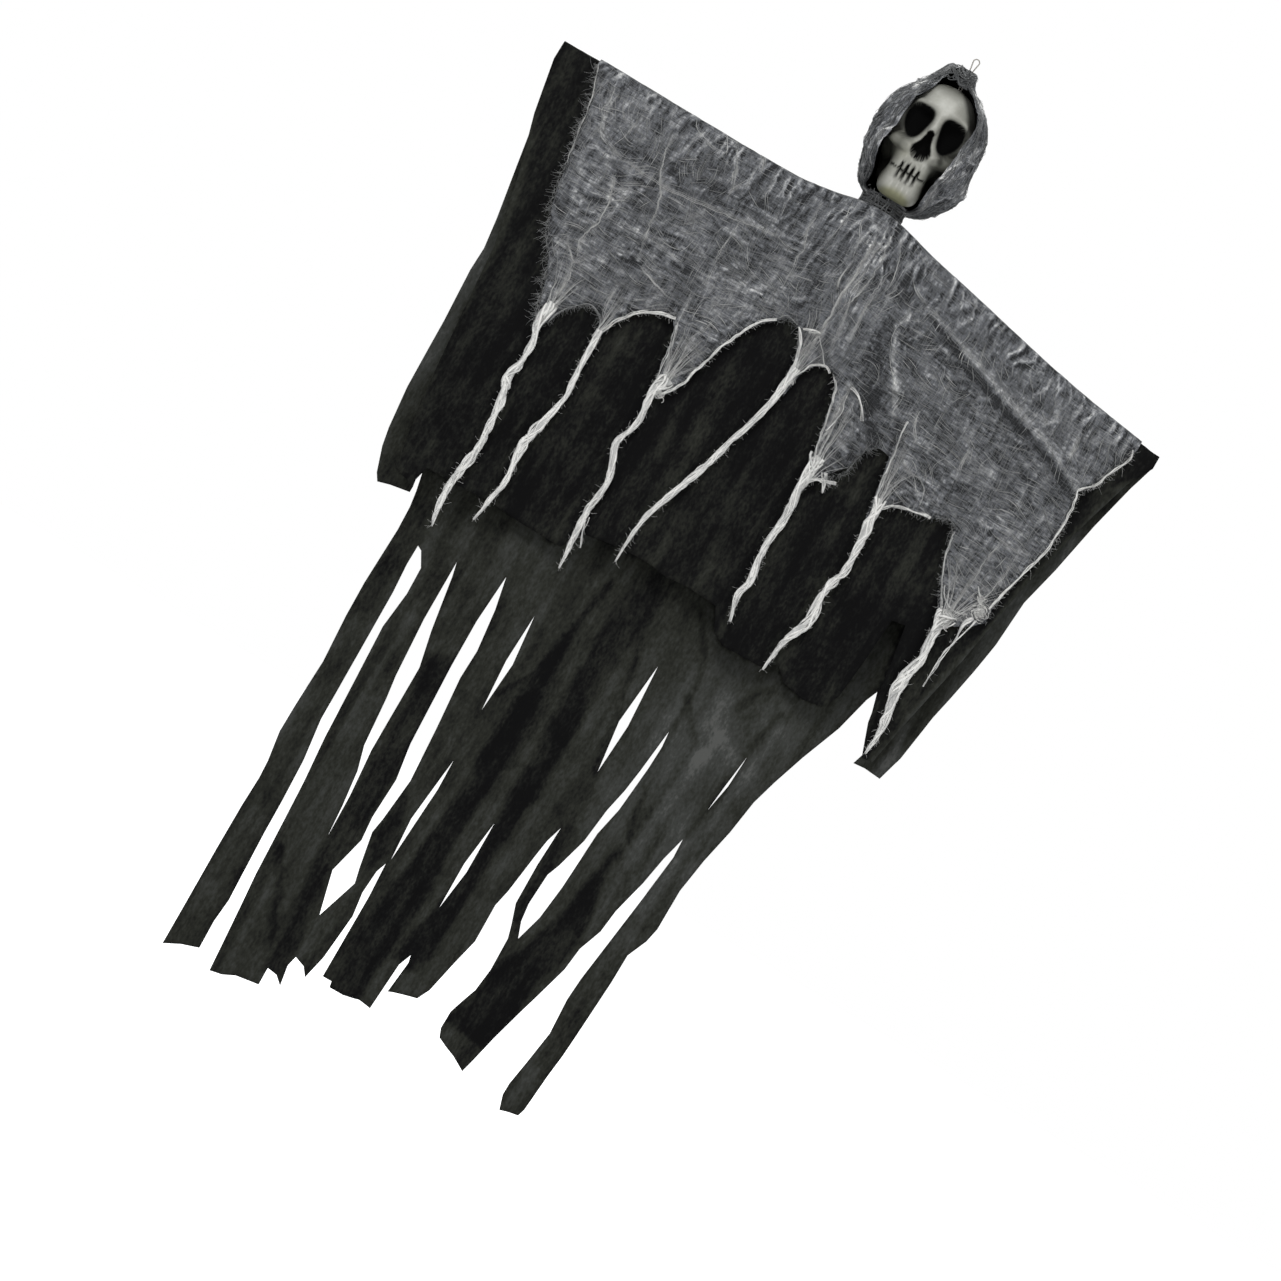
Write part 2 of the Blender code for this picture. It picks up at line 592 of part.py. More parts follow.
def skull(finish):
    """The moulded skull: a ball drawn in to the surface, then teeth, neck post and holes."""
    middle = np.array([0.0, 0.0, HEAD_MIDDLE])
    ball = bmesh.new()
    bmesh.ops.create_icosphere(ball, subdivisions=5, radius=1.0)
    rays = np.array([v.co[:] for v in ball.verts]) - (0.0, 0.6, 0.0)
    rays /= np.linalg.norm(rays, axis=1)[:, None]
    reach = np.full(len(rays), 90.0)
    for _ in range(160):
        reach -= np.clip(0.7 * skull_form(middle + rays * reach[:, None]), -1.5, 5.0)
    places = middle + rays * reach[:, None]
    points = [at(x + SKULL_X, y, z) for x, y, z in places]
    faces = [[v.index for v in face.verts] for face in ball.faces]
    ball.free()
    made = mesh_object("skull", points, faces, finish)
    fewer = made.modifiers.new("fewer faces", "DECIMATE")
    fewer.ratio = SKULL_FACES / len(faces)

    wire_z = float(wire_height(NECK_X))
    foot = wire_z - NECK_BELOW_WIRE
    head = -90.0
    neck = post("neck post", NECK_RADIUS, head - foot, at(NECK_X, 0, (head + foot) / 2))
    boolean(made, neck, "UNION")
    drill = post("wire hole", WIRE_THICK / 2 + CLEAR, 4 * NECK_RADIUS, at(NECK_X, 0, wire_z), lying=True)
    boolean(made, drill, "DIFFERENCE")
    crown = post("string hole", CROWN_BORE, 2 * CROWN_BORE_DEEP, at(STRING_X, 0, SKULL_TOP))
    boolean(made, crown, "DIFFERENCE")
    mouth = cutter("mouth line", (MOUTH_WIDE, 13, MOUTH_GAP), at(SKULL_X, TEETH_FRONT, MOUTH_HEIGHT))
    boolean(made, mouth, "DIFFERENCE")
    for k in (-1.5, -0.5, 0.5, 1.5):
        place = at(SKULL_X + k * TOOTH_WIDE, TEETH_FRONT, MOUTH_HEIGHT)
        gap = cutter(f"tooth gap {k}", (TOOTH_GAP, 11, TEETH_HIGH), place)
        boolean(made, gap, "DIFFERENCE")


def shoulder_wire(finish):
    route = [at(x, 0, height) for x, height in WIRE_LINE]
    tube("shoulder_wire", route, WIRE_THICK, 2, finish)


def neck_tie(finish):
    """A closed ring of cord round the gathered hood."""
    ring = NECK_HALF + CLEAR + TIE_THICK / 2
    turns, sides = 30, 5
    points, faces = [], []
    for k in range(turns):
        turn = k * math.tau / turns
        for j in range(sides):
            around = j * math.tau / sides
            reach = ring + TIE_THICK / 2 * math.cos(around)
            up = TIE_THICK / 2 * math.sin(around)
            points.append(at(NECK_X + reach * math.cos(turn), reach * math.sin(turn), TIE_HEIGHT + up))
            following = (k + 1) % turns
            here, there = k * sides, following * sides
            faces.append((here + j, there + j, there + (j + 1) % sides, here + (j + 1) % sides))
    mesh_object("neck_tie", points, faces, finish)


def hanging_string(finish):
    """A loop of string: up out of the crown, round and back into it."""
    foot = SKULL_TOP - CROWN_BORE_DEEP + STRING_THICK
    top = LOOP_HEIGHT - STRING_THICK / 2
    half, wide = STRING_APART / 2, LOOP_WIDE / 2
    rising = [(half, foot), (half, SKULL_TOP), (half, -5.0), (half + 0.3, 2.0), (wide, top - wide - 0.6)]
    over = [(wide * math.cos(turn), top - wide + wide * math.sin(turn)) for turn in (0.45, 1.0, math.pi / 2)]
    half_loop = rising + over
    whole = half_loop + [(-x, z) for x, z in half_loop[-2::-1]]
    route = through([at(x + STRING_X, 0, z) for x, z in whole], 3.2 * STRING_THICK)
    tube("hanging_string", route, STRING_THICK, 2, finish)


for old in list(bpy.data.objects):
    bpy.data.objects.remove(old, do_unlink=True)

BONE = material("aged plastic", (0.42, 0.42, 0.36), 0.45)
BLACK_CLOTH = material("black non-woven cloth", (0.02, 0.02, 0.018), 0.9)
GAUZE = material("grey gauze", (0.32, 0.32, 0.32), 0.95)
STEEL = material("steel wire", (0.45, 0.45, 0.45), 0.4, 1.0)
BLACK_CORD = material("black cord", (0.03, 0.03, 0.03), 0.8)
GREY_STRING = material("grey string", (0.42, 0.4, 0.37), 0.8)

skull(BONE)
shoulder_wire(STEEL)
robe(BLACK_CLOTH)
cape(GAUZE)
hood("hood_lining", 14, lining_depth, 3.2, BLACK_CLOTH)
hood("hood_gauze", 24, gauze_depth, 1.2, GAUZE)
neck_tie(BLACK_CORD)
hanging_string(GREY_STRING)
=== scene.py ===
"""The looks of a hanging fabric ghost: gauze and its threads, torn black cloth, a skull and its string.

Lengths are in millimetres until a mesh is made. Heights are measured down from the top of the hood, and at()
turns them into heights in the frame, whose origin is the top of the hanging loop.
"""

import math

import bmesh
import bpy
import numpy as np
from mathutils import Matrix, Vector
from mathutils.geometry import delaunay_2d_cdt


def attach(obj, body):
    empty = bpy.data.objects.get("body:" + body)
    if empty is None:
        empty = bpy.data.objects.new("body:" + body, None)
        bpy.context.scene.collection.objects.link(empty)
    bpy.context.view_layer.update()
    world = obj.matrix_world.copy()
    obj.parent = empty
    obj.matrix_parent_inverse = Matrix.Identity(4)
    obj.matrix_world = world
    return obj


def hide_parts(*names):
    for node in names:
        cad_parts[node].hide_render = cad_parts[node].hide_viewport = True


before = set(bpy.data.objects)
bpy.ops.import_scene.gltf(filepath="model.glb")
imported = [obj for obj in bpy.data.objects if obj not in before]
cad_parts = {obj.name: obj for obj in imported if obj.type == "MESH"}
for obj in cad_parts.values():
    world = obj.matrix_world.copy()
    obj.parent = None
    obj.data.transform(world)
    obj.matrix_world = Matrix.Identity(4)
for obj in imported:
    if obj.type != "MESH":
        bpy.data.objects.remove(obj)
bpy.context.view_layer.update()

MM = 0.001
TAU = math.tau

# Sizes and places of the solids, which the pieces repeat
LOOP_HEIGHT = 12.0
STRING_THICK = 1.0
STRING_APART = 2.2
LOOP_WIDE = 5.0
STRING_X = 0.0
SKULL_X = -1.6
SKULL_TOP = -18.0
CROWN_BORE_DEEP = 7.0
CRANIUM = (35.0, 38.0, 36.0)
SOCKET_APART, SOCKET_HEIGHT, SOCKET_LEAN = 33.4, -60.4, 0.24
SOCKET = (9.9, 12.0, 12.6)
CHEEK, JAW_HALF, CHIN_HEIGHT = 31.0, 17.0, -112.0
MOUTH_HEIGHT, TOOTH_WIDE = -100.3, 4.9
HEAD_MIDDLE = -58.0
RAY_START, RAY_STEPS, RAY_CLOSE = 84.0, 150, 0.02
WIRE_THICK = 3.0
FOLD_CLEAR = 0.6
CLOTH = 1.2
HOOD_CLOTH = 1.0
LAYER_STEP = 4.5
NECK_X = -5.0
NECK_HALF = 16.5
NECK_BULGE = 17.0
BULGE_WIDTH = 22.0
BULGE_DROP = 80.0
NECK_HOLE = 44.0
TIE_THICK = 2.2
TIE_HEIGHT = -127.4
ROBE_FOLD = WIRE_THICK / 2 + FOLD_CLEAR + CLOTH / 2
CAPE_FOLD = ROBE_FOLD + FOLD_CLEAR + CLOTH

# How thick the drawn cloths are, and how far apart their points and threads lie
ROBE_THICK, GAUZE_THICK, LINING_THICK = 0.45, 0.3, 0.5
ROBE_CELL, FRONT_CELL, BACK_CELL = 4.0, 2.2, 3.0
NET_PITCH, NET_STEP = 3.1, 5.2
HOOD_COLUMNS, FINE_COLUMNS = 96, 170
HOOD_ROW, FINE_ROW = 2.0, 1.3
GATHER_TOP, GATHER_LENGTH = -114.0, 9.0
WRINKLE_RELIEF, HOOD_RELIEF, HOOD_LEVEL = 2.0, 2.6, 0.4
CAPE_LEFT, CAPE_RIGHT = -254, 265
OUT_FRONT, OUT_BACK = (0.0, -1.0, 0.0), (0.0, 1.0, 0.0)

# How many strands of each kind there are
CREASE_STRANDS, TAIL_STRANDS, TAIL_FIBRES = 1900, 13, 260
HOOD_WARP, HOOD_WEFT, HOOD_STRANDS, EDGE_THREADS = 56, 34, 900, 6
CROWN_STRANDS, KNOT_STRANDS, NECK_TURNS, NECK_FALLS = 130, 45, 36, 60

# Camera, from the photograph's framing
ROLL = math.radians(31.0)  # how far the picture is turned
VIEW_CENTRE = (7.6, -528.6)  # x and z in the frame
VIEW_WIDE = 1003.0
LENS, SENSOR = 85.0, 36.0
OBJECT_Y = -10.0

# The wire's axis across the shoulders: x and height
WIRE_ROUTE = [
    (-280, -146.0), (-245, -145.2), (-150, -145.3), (-70, -144.3), (-40, -139.6), (-27, -136.5),
    (-16, -135.0), (6, -135.0), (17, -136.2), (27, -138.4), (50, -144.3), (100, -154.4), (150, -165.2),
    (200, -174.8), (250, -182.0), (279, -185.6),
]

# Hood from the crown to the neck: height, left side, right side, left and right edge of the face opening
HOOD = [
    (-0.6, -6.5, 6.3, 0, 0), (-2.0, -16, 6.8, -5, -4.5), (-7, -20.5, 8, -10, -4), (-13, -23.5, 13, -13, 2),
    (-20, -27, 22, -16.5, 12), (-28, -33, 31, -18, 19), (-36, -38.5, 38, -21, 24),
    (-45, -42.5, 42.5, -25, 26),
    (-58, -45.5, 44, -27.5, 24.5), (-72, -45.8, 44.6, -28, 22.8), (-86, -44.3, 45.4, -31, 21),
    (-98, -41.5, 42, -29.5, 19), (-108, -38, 34.5, -26, 17.5), (-116, -34, 27.5, -25, 17.5),
    (-121, -28, 18, -24.5, 14.8), (-125.6, -21.5, 11.5, -14, 5), (-132.4, -21.5, 11.5, -10, 1),
]
HOOD_FRONT, HOOD_BACK, HOOD_Y = 1.12, 1.14, 3.0

# Robe front, left to right along its hem
FRONT_HEM = [
    (-286, -160), (-277, -205), (-262, -255), (-250, -310), (-243, -380), (-236, -445), (-226, -500),
    (-209, -504), (-205, -487), (-170, -486), (-150, -484), (-120, -486), (-84, -486), (-74, -468),
    (-58, -465),
    (-42, -463), (0, -464), (44, -463), (54, -482), (66, -487), (98, -486), (110, -477), (120, -487),
    (140, -491),
    (156, -488), (163, -474), (166, -440), (168, -402), (179, -400), (186, -440), (193, -480), (203, -506),
    (212, -505), (218, -470), (232, -400), (243, -330), (256, -270), (272, -215), (283, -194),
]
# Robe back with its sleeves and strips, left to right
BACK_HEM = [
    (-286, -160), (-283, -175), (-278, -197), (-275, -210), (-269, -245), (-261, -290), (-257.5, -315),
    (-258, -335), (-255, -380), (-253, -440), (-249, -475), (-246, -490), (-239, -510), (-235, -516),
    (-225, -513), (-209, -510), (-209, -505), (-212, -487), (-215, -470), (-219, -452), (-216, -455),
    (-211, -480), (-205, -507), (-203, -520), (-202, -540), (-203, -590), (-202, -620), (-199, -660),
    (-200, -700), (-200, -725), (-196, -750), (-195, -765), (-195.5, -790), (-195, -830), (-194, -870),
    (-193, -916), (-180, -909), (-166, -904), (-167, -880), (-165.5, -860), (-169, -800), (-170, -770),
    (-172, -735), (-177, -700), (-178.5, -640), (-180, -585), (-182, -560), (-182, -543), (-178, -545),
    (-171, -557), (-170, -580), (-173, -612), (-170, -660), (-167, -710), (-163, -750), (-161, -780),
    (-158, -830), (-155, -860), (-150, -915), (-140, -913), (-130, -908), (-111, -905), (-111.5, -890),
    (-103, -891), (-96, -897), (-99, -880), (-97, -871), (-88, -874), (-82.5, -881), (-78, -860), (-75, -820),
    (-78, -800), (-77, -780), (-74, -771), (-72, -800), (-71, -873), (-63, -873), (-62, -878), (-50, -878),
    (-37, -875), (-26, -876.5), (-24, -835), (-20, -824), (-18.5, -830), (-21, -858), (-10, -854),
    (2, -850.5),
    (7, -840), (10, -825), (13, -810), (18, -788), (17, -755), (20, -740), (24, -705), (26, -690), (30, -676),
    (29, -710), (30, -745), (36, -762), (39, -772), (40, -800), (38, -820), (33, -835), (30, -845),
    (30, -860),
    (33, -867), (40, -870), (50, -873.5), (62, -880), (65, -868), (70, -845), (77, -818), (82, -800),
    (90, -770),
    (92, -750), (99, -730), (101, -710), (108, -680), (112, -655), (117, -634), (118, -650), (114, -690),
    (109, -735), (105, -770), (104, -790), (106, -820), (102, -850), (99, -870), (99, -880), (103, -892),
    (110, -890), (118, -888.5), (120, -882), (122, -850), (124, -830), (125, -810), (127, -760), (127, -735),
    (134, -718), (136.5, -705), (136, -670), (140, -640), (146, -610), (150, -580), (156, -558), (165, -530),
    (178, -495), (185, -465), (189, -455), (192, -465), (200, -492), (205, -503), (202, -513), (212, -512),
    (226, -513), (232, -490), (237, -450), (241, -430), (246, -402), (250, -375), (252, -335), (260, -300),
    (268, -255), (277, -215), (283, -194),
]
# Gaps between strips that touch again below
SLITS = [
    [(-149, -538), (-146, -550), (-138, -595), (-131, -625), (-130, -700), (-126, -740), (-124.5, -778),
     (-127, -750), (-131, -720), (-137, -700), (-141, -660), (-144, -640), (-148, -590)],
    [(-109, -528), (-103, -555), (-98.5, -590), (-99, -615), (-94.5, -660), (-91, -705), (-94, -742),
      (-96, -755),
     (-90, -785), (-87, -797), (-98, -833), (-107.5, -797), (-100, -765), (-102, -745), (-101, -710),
     (-106, -680), (-110, -610), (-111, -570)],
    [(-70, -673), (-69, -700), (-72, -766), (-75, -730)],
    [(-74, -543), (-69, -585), (-71.5, -628), (-75, -585)],
    [(-17, -700), (-16, -745), (-20, -780), (-21, -740)],
    [(30, -527), (34, -580), (32, -623), (26, -580)],
    [(64, -567), (65.5, -580), (65, -600), (62, -640), (57, -665), (55, -715), (52, -745), (46, -768),
     (41, -755), (39, -740), (40, -713), (44, -702), (51, -675), (54, -645), (58, -625), (60.5, -605)],
    [(127, -552), (126, -580), (122, -604), (124, -580)],
]
# Where the back is folded double, as outlines with how dark each is: painted darker, as less light from behind
# comes through two layers
DOUBLED = [
    ([(-22, -462), (8, -463), (5, -500), (3, -523), (1, -586), (-1, -648), (-2, -690), (-3, -732), (-5, -773),
      (-5, -815), (-12, -835), (-30, -832), (-30, -812), (-22, -780), (-17, -732), (-20, -690), (-20, -648),
      (-22, -586), (-24, -523)], 0.95),
    ([(-44, -530), (-38, -560), (-34, -598), (-34, -660), (-36, -711), (-34, -752), (-34, -836), (-36, -880),
      (-61, -880), (-63, -836), (-63, -794), (-57, -752), (-55, -700), (-55, -648), (-54, -600)], 0.85),
    ([(78, -664), (82, -700), (87, -727), (89, -748), (80, -794), (68, -857), (30, -853), (36, -820),
      (43, -794),
      (53, -769), (66, -732), (70, -698), (74, -675)], 1.0),
    ([(-128, -610), (-104, -600), (-101, -690), (-106, -760), (-109, -794), (-99, -857), (-96, -895),
      (-113, -895), (-115, -857), (-124, -794), (-124, -690)], 0.7),
    ([(-93, -706), (-80, -730), (-73, -757), (-84, -788), (-95, -748)], 0.8),
    ([(-201, -508), (-182, -508), (-181, -548), (-186, -620), (-200, -610)], 0.45),
    ([(-163, -530), (-150, -534), (-150, -590), (-164, -590)], 0.35),
    ([(28, -600), (39, -640), (38, -700), (42, -765), (34, -755), (28, -690)], 0.7),
]
# Creases of the back: points, reach, and how much lighter or darker, as painted crease shade where negative and
# painted fold highlight where positive
BACK_CREASES = [
    ([(37, -473), (58, -502), (64, -523), (66, -565), (68, -607), (80, -657)], 2.6, -0.22),
    ([(62, -536), (87, -565), (85, -615), (80, -673)], 2.6, -0.2),
    ([(114, -498), (95, -532), (93, -561)], 3.0, -0.2),
    ([(132, -511), (126, -544), (124, -582), (119, -628)], 3.0, -0.18),
    ([(103, -577), (103, -623), (99, -673)], 3.0, -0.12),
    ([(-36, -490), (-43, -540), (-51, -582), (-67, -611)], 3.0, -0.22),
    ([(8, -515), (20, -565), (30, -623)], 3.0, -0.2),
    ([(-153, -802), (-134, -836), (-120, -873)], 3.0, -0.2),
    ([(-101, -548), (-97, -598), (-93, -628)], 3.0, -0.14),
    ([(120, -757), (116, -798), (110, -848)], 3.0, -0.16),
    ([(137, -586), (133, -640)], 3.0, -0.14),
    ([(-140, -500), (-143, -560), (-150, -640)], 3.0, -0.1),
    ([(-170, -600), (-164, -700), (-160, -760)], 3.0, -0.1),
    ([(-187, -640), (-183, -740), (-182, -820)], 3.0, -0.08),
    ([(-10, -700), (8, -640), (16, -560)], 3.0, -0.1),
    ([(99, -548), (112, -556), (124, -561)], 7.0, 0.16),
    ([(56, -512), (60, -548), (58, -590)], 4.0, 0.1),
    ([(88, -520), (104, -600), (108, -650)], 9.0, 0.14),
    ([(140, -520), (128, -620), (118, -700)], 7.0, 0.12),
    ([(120, -640), (116, -740), (112, -860)], 5.0, 0.1),
    ([(216, -452), (226, -490), (222, -510)], 6.0, 0.25),
    ([(-165, -545), (-158, -660), (-140, -900)], 6.0, 0.06),
    ([(5, -720), (14, -780), (5, -845)], 6.0, 0.08),
]

# Cape front: the torn hem without its tails, left to right
LEFT_TEAR = [
    (-254, -150), (-248, -158), (-244, -170), (-240, -185), (-238, -200), (-236, -215), (-231, -245),
    (-227, -260), (-217, -285), (-210, -293), (-203, -308), (-196, -328), (-191, -345), (-184, -345),
]
ARCHES = [
    [(-178, -328), (-172, -322), (-168, -316), (-160, -312), (-153, -312), (-148, -318)],
    [(-141, -324), (-137, -312), (-131, -303), (-124, -297), (-115, -292), (-100, -288.5), (-93, -297),
     (-89, -312)],
    [(-62, -306), (-55, -285), (-47, -265), (-40, -257), (-33, -250), (-20, -240), (-10, -245), (-5, -254),
     (-1, -272)],
    [(8, -272), (14, -263), (22, -260), (30, -260), (35, -265), (38, -275), (44, -302)],
    [(77, -318), (80, -302), (88, -292), (100, -292), (104, -310)],
    [(118, -330), (127, -321), (150, -319), (165, -312), (172, -313), (176, -332), (184, -353), (190, -366)],
]
ROOTS = [  # the cape's edge between two arches, where a tail hangs
    [(-146, -336), (-142, -336)],
    [(-86, -335), (-81, -348), (-76, -346), (-68, -325)],
    [(0, -296), (5, -296)],
    [(50, -330), (55, -344), (62, -336), (72, -322)],
    [(109, -344), (114, -344)],
]
RIGHT_TEAR = [
    (196, -384), (206, -384), (220, -377), (232, -366), (230, -345), (237, -320), (241, -305), (245, -288),
    (244, -262), (243, -248), (240, -241), (249, -232), (256, -212), (263, -192), (265, -188),
]
# Tails as centre lines with a width at each point
TAILS = [
    [(-187, -326, 13), (-188, -345, 7), (-184, -362, 6), (-184, -378, 6.5), (-186, -392, 9), (-182, -412, 7),
     (-179, -440, 6), (-178, -455, 7), (-182, -485, 6.5), (-182, -505, 6), (-178, -524, 1.5)],
    [(-144.5, -325, 8), (-143, -350, 6), (-142, -370, 6), (-141, -385, 5), (-146, -410, 8), (-150, -435, 10),
     (-147, -460, 6), (-149, -480, 5.5), (-153, -503, 1.5)],
    [(-79, -330, 22), (-84, -345, 9), (-82, -370, 6), (-88, -392, 6), (-84, -405, 7), (-78, -425, 5.5),
     (-80, -450, 6), (-78, -478, 5), (-76, -501, 1.5)],
    [(3, -272, 9), (0, -298, 6), (-4, -320, 5), (-10, -342, 5), (-20, -375, 6), (-28, -400, 6),
      (-34, -416, 5),
     (-40, -440, 4), (-41, -474, 1.2)],
    [(54, -322, 18), (52, -345, 9), (55, -375, 7), (53, -405, 7), (57, -432, 7), (54, -447, 6),
      (60, -468, 2)],
    [(111, -325, 12), (114, -350, 8), (117, -385, 7), (111, -410, 8), (113, -435, 9), (108, -447, 8),
     (104, -460, 6), (101, -487, 1.5)],
    [(203, -374, 24), (200, -392, 9), (202, -420, 8), (198, -445, 10), (200, -458, 8), (204, -482, 6),
     (203, -502, 1.5)],
]
THIN_TAILS = [
    [(221, -368, 8), (217, -390, 4), (216, -412, 2.6), (215, -434, 1)],
    [(-77, -455, 3), (-74, -468, 2.5), (-70, -479, 1)],
    [(64, -330, 9), (67, -337, 5), (70, -345, 1)],
    [(-4, -243, 2), (2, -241, 1.5), (5, -239, 1)],
]
CAPE_BACK_HEM = [
    (-254, -150), (-246, -220), (-238, -290), (-205, -325), (-160, -318), (-110, -332), (-60, -320),
    (-10, -336), (45, -322), (95, -334), (150, -318), (205, -322), (248, -300), (255, -240), (265, -188),
]
# Lines that the cape's threads bunch along: points, reach, strength, and how many strands run there
GATHERS = [
    ([(-238, -140), (-232, -160), (-229, -180), (-221, -194), (-205, -200)], 4, 0.5, 1),
    ([(-205, -200), (-178, -203), (-150, -202), (-120, -198), (-92, -194), (-62, -190)], 4, 0.6, 1),
    ([(-166, -140), (-159, -151), (-148, -155), (-134, -157)], 3, 0.5, 1),
    ([(-141, -139), (-134, -150), (-133, -160)], 3, 0.5, 1),
    ([(-128, -142), (-120, -158), (-114, -172), (-111, -190)], 4, 0.55, 1),
    ([(-108, -140), (-103, -146), (-100, -153)], 3, 0.5, 1),
    ([(-205, -150), (-202, -165), (-206, -182)], 3, 0.5, 0),
    ([(-185, -145), (-181, -160), (-184, -178)], 3, 0.5, 0),
    ([(-92, -146), (-88, -160), (-89, -172)], 3, 0.5, 0),
    ([(-174, -164), (-172, -185), (-163, -202), (-155, -218), (-153, -240), (-147, -262)], 4, 0.62, 2),
    ([(-151, -288), (-150, -305), (-145, -325)], 4, 0.6, 1),
    ([(-197, -218), (-190, -236), (-190, -252), (-193, -275), (-189, -284)], 5, 0.62, 2),
    ([(-204, -275), (-198, -284), (-190, -290), (-183, -283)], 4, 0.5, 1),
    ([(-190, -290), (-187, -305), (-187, -335)], 5, 0.62, 2),
    ([(-94, -195), (-95, -225), (-92, -250)], 4, 0.5, 1),
    ([(-97, -264), (-96, -290), (-88, -312), (-84, -335)], 5, 0.5, 1),
    ([(-75, -280), (-80, -300), (-79, -325)], 5, 0.5, 1),
    ([(-47, -150), (-46, -172), (-42, -190), (-40, -214)], 4, 0.5, 1),
    ([(-12, -138), (-12, -152), (-6, -164)], 3, 0.5, 1),
    ([(-62, -310), (-74, -322), (-81, -340)], 5, 0.5, 1),
    ([(3, -146), (4, -175), (4, -210), (5, -240), (3, -285)], 4, 0.62, 2),
    ([(9, -143), (8, -170), (10, -205), (5, -238)], 3, 0.55, 1),
    ([(13, -146), (17, -175), (13, -210), (19, -250)], 4, 0.55, 2),
    ([(20, -142), (28, -158), (33, -172), (31, -182)], 3, 0.5, 1),
    ([(26, -165), (24, -200), (27, -232)], 3, 0.5, 1),
    ([(-22, -150), (-30, -178), (-33, -210)], 4, 0.5, 0),
    ([(38, -178), (36, -205), (40, -240)], 4, 0.5, 0),
    ([(45, -163), (55, -172), (64, -176)], 3, 0.55, 1),
    ([(-185, -246), (-150, -243), (-118, -247)], 5, 0.5, 0),
    ([(-142, -266), (-130, -270), (-112, -275)], 4, 0.55, 1),
    ([(-225, -215), (-215, -250), (-206, -290)], 5, 0.4, 0),
    ([(64, -176), (92, -186), (130, -200), (165, -213), (200, -222), (238, -240)], 5, 0.66, 0),
    ([(64, -176), (52, -204), (62, -226), (76, -245), (88, -268)], 4, 0.6, 1),
    ([(102, -252), (104, -262), (112, -272)], 3, 0.5, 1),
    ([(101, -285), (106, -305), (111, -330)], 4, 0.55, 2),
    ([(118, -300), (113, -312), (112, -330)], 3, 0.55, 1),
    ([(113, -292), (122, -296), (131, -304), (138, -310)], 3, 0.5, 1),
    ([(46, -262), (48, -280), (47, -300), (52, -328)], 4, 0.6, 2),
    ([(54, -270), (56, -290), (54, -318)], 3, 0.55, 1),
    ([(152, -258), (151, -268), (153, -276)], 3, 0.5, 1),
    ([(218, -205), (222, -214), (220, -226)], 3, 0.55, 1),
    ([(210, -296), (206, -335), (202, -372)], 5, 0.5, 1),
    ([(226, -310), (224, -338), (212, -376)], 5, 0.5, 1),
    ([(190, -300), (188, -330), (196, -366)], 5, 0.5, 0),
]
# The solid's own folds in the cape's front: points, reach and height
CAPE_FOLDS = [
    ([(-215, -196), (-70, -191)], 13.0, 5.0), ([(75, -186), (235, -236)], 14.0, 6.5),
    ([(45, -205), (88, -268)], 13.0, 5.0), ([(-6, -170), (0, -245)], 10.0, 4.0),
]
# Painted highlights on folds that catch the light, and painted shadows in the hollows between and under them:
# points, reach and how much lighter or darker
SHADES = [
    ([(-205, -191), (-160, -189), (-110, -181), (-60, -166)], 5.0, -0.17),
    ([(-150, -197), (-110, -192), (-95, -189)], 3.0, -0.1),
    ([(-146, -250), (-128, -253), (-110, -250)], 6.0, -0.14),
    ([(-176, -262), (-152, -268)], 7.0, -0.1),
    ([(-31, -168), (-28, -196)], 7.0, -0.14),
    ([(-22, -205), (-20, -232)], 6.0, -0.08),
    ([(72, -184), (130, -206), (165, -219), (200, -229), (238, -247)], 3.6, -0.34),
    ([(70, -180), (128, -197), (198, -219), (236, -237)], 2.6, 0.16),
    ([(42, -165), (48, -190), (44, -214)], 6.0, -0.12),
    ([(46, -222), (60, -248), (74, -276)], 12.0, -0.24),
    ([(60, -262), (78, -290)], 8.0, -0.12),
    ([(55, -206), (66, -228), (88, -262)], 2.6, 0.2),
    ([(92, -262), (98, -285)], 5.0, -0.22),
    ([(106, -272), (150, -288), (190, -306)], 8.0, -0.12),
    ([(190, -250), (232, -262)], 6.0, -0.1),
    ([(150, -215), (185, -222)], 4.0, -0.12),
    ([(-246, -150), (-240, -190), (-228, -240)], 6.0, 0.06),
    ([(-60, -238), (-80, -262)], 14.0, 0.06),
]


def at(x, y, height):
    return np.stack(np.broadcast_arrays(x, y, height - LOOP_HEIGHT), axis=-1).astype(float)


def through(points, step):
    """Points about step apart on a smooth curve through the given points."""
    points = np.array(points, float)
    padded = np.vstack([2 * points[0] - points[1], points, 2 * points[-1] - points[-2]])
    found = []
    for a, b, c, d in zip(padded, padded[1:], padded[2:], padded[3:]):
        count = max(1, round(float(np.linalg.norm((c - b)[:3])) / step))
        t = np.arange(count)[:, None] / count
        found.append(0.5 * (2 * b + (c - a) * t + (2 * a - 5 * b + 4 * c - d) * t**2
                            + (3 * b - a - 3 * c + d) * t**3))
    return np.vstack(found + [points[-1:]])


WIRE_LINE = through(WIRE_ROUTE, 26.0)


def wire_height(x):
    return np.interp(x, WIRE_LINE[:, 0], WIRE_LINE[:, 1])


NOISE_TABLES = {}


def noise(u, v, seed):
    """Smooth noise from -1 to 1 with one hump in each unit square."""
    size = 64
    if seed not in NOISE_TABLES:
        NOISE_TABLES[seed] = np.random.default_rng(seed).uniform(-1, 1, (size, size))
    table = NOISE_TABLES[seed]
    u, v = np.broadcast_arrays(np.asarray(u, float), np.asarray(v, float))
    u0, v0 = np.floor(u).astype(int), np.floor(v).astype(int)
    fu, fv = u - u0, v - v0
    fu, fv = fu * fu * (3 - 2 * fu), fv * fv * (3 - 2 * fv)
    u1, v1 = (u0 + 1) % size, (v0 + 1) % size
    u0, v0 = u0 % size, v0 % size
    low = table[u0, v0] * (1 - fu) + table[u1, v0] * fu
    high = table[u0, v1] * (1 - fu) + table[u1, v1] * fu
    return low * (1 - fv) + high * fv


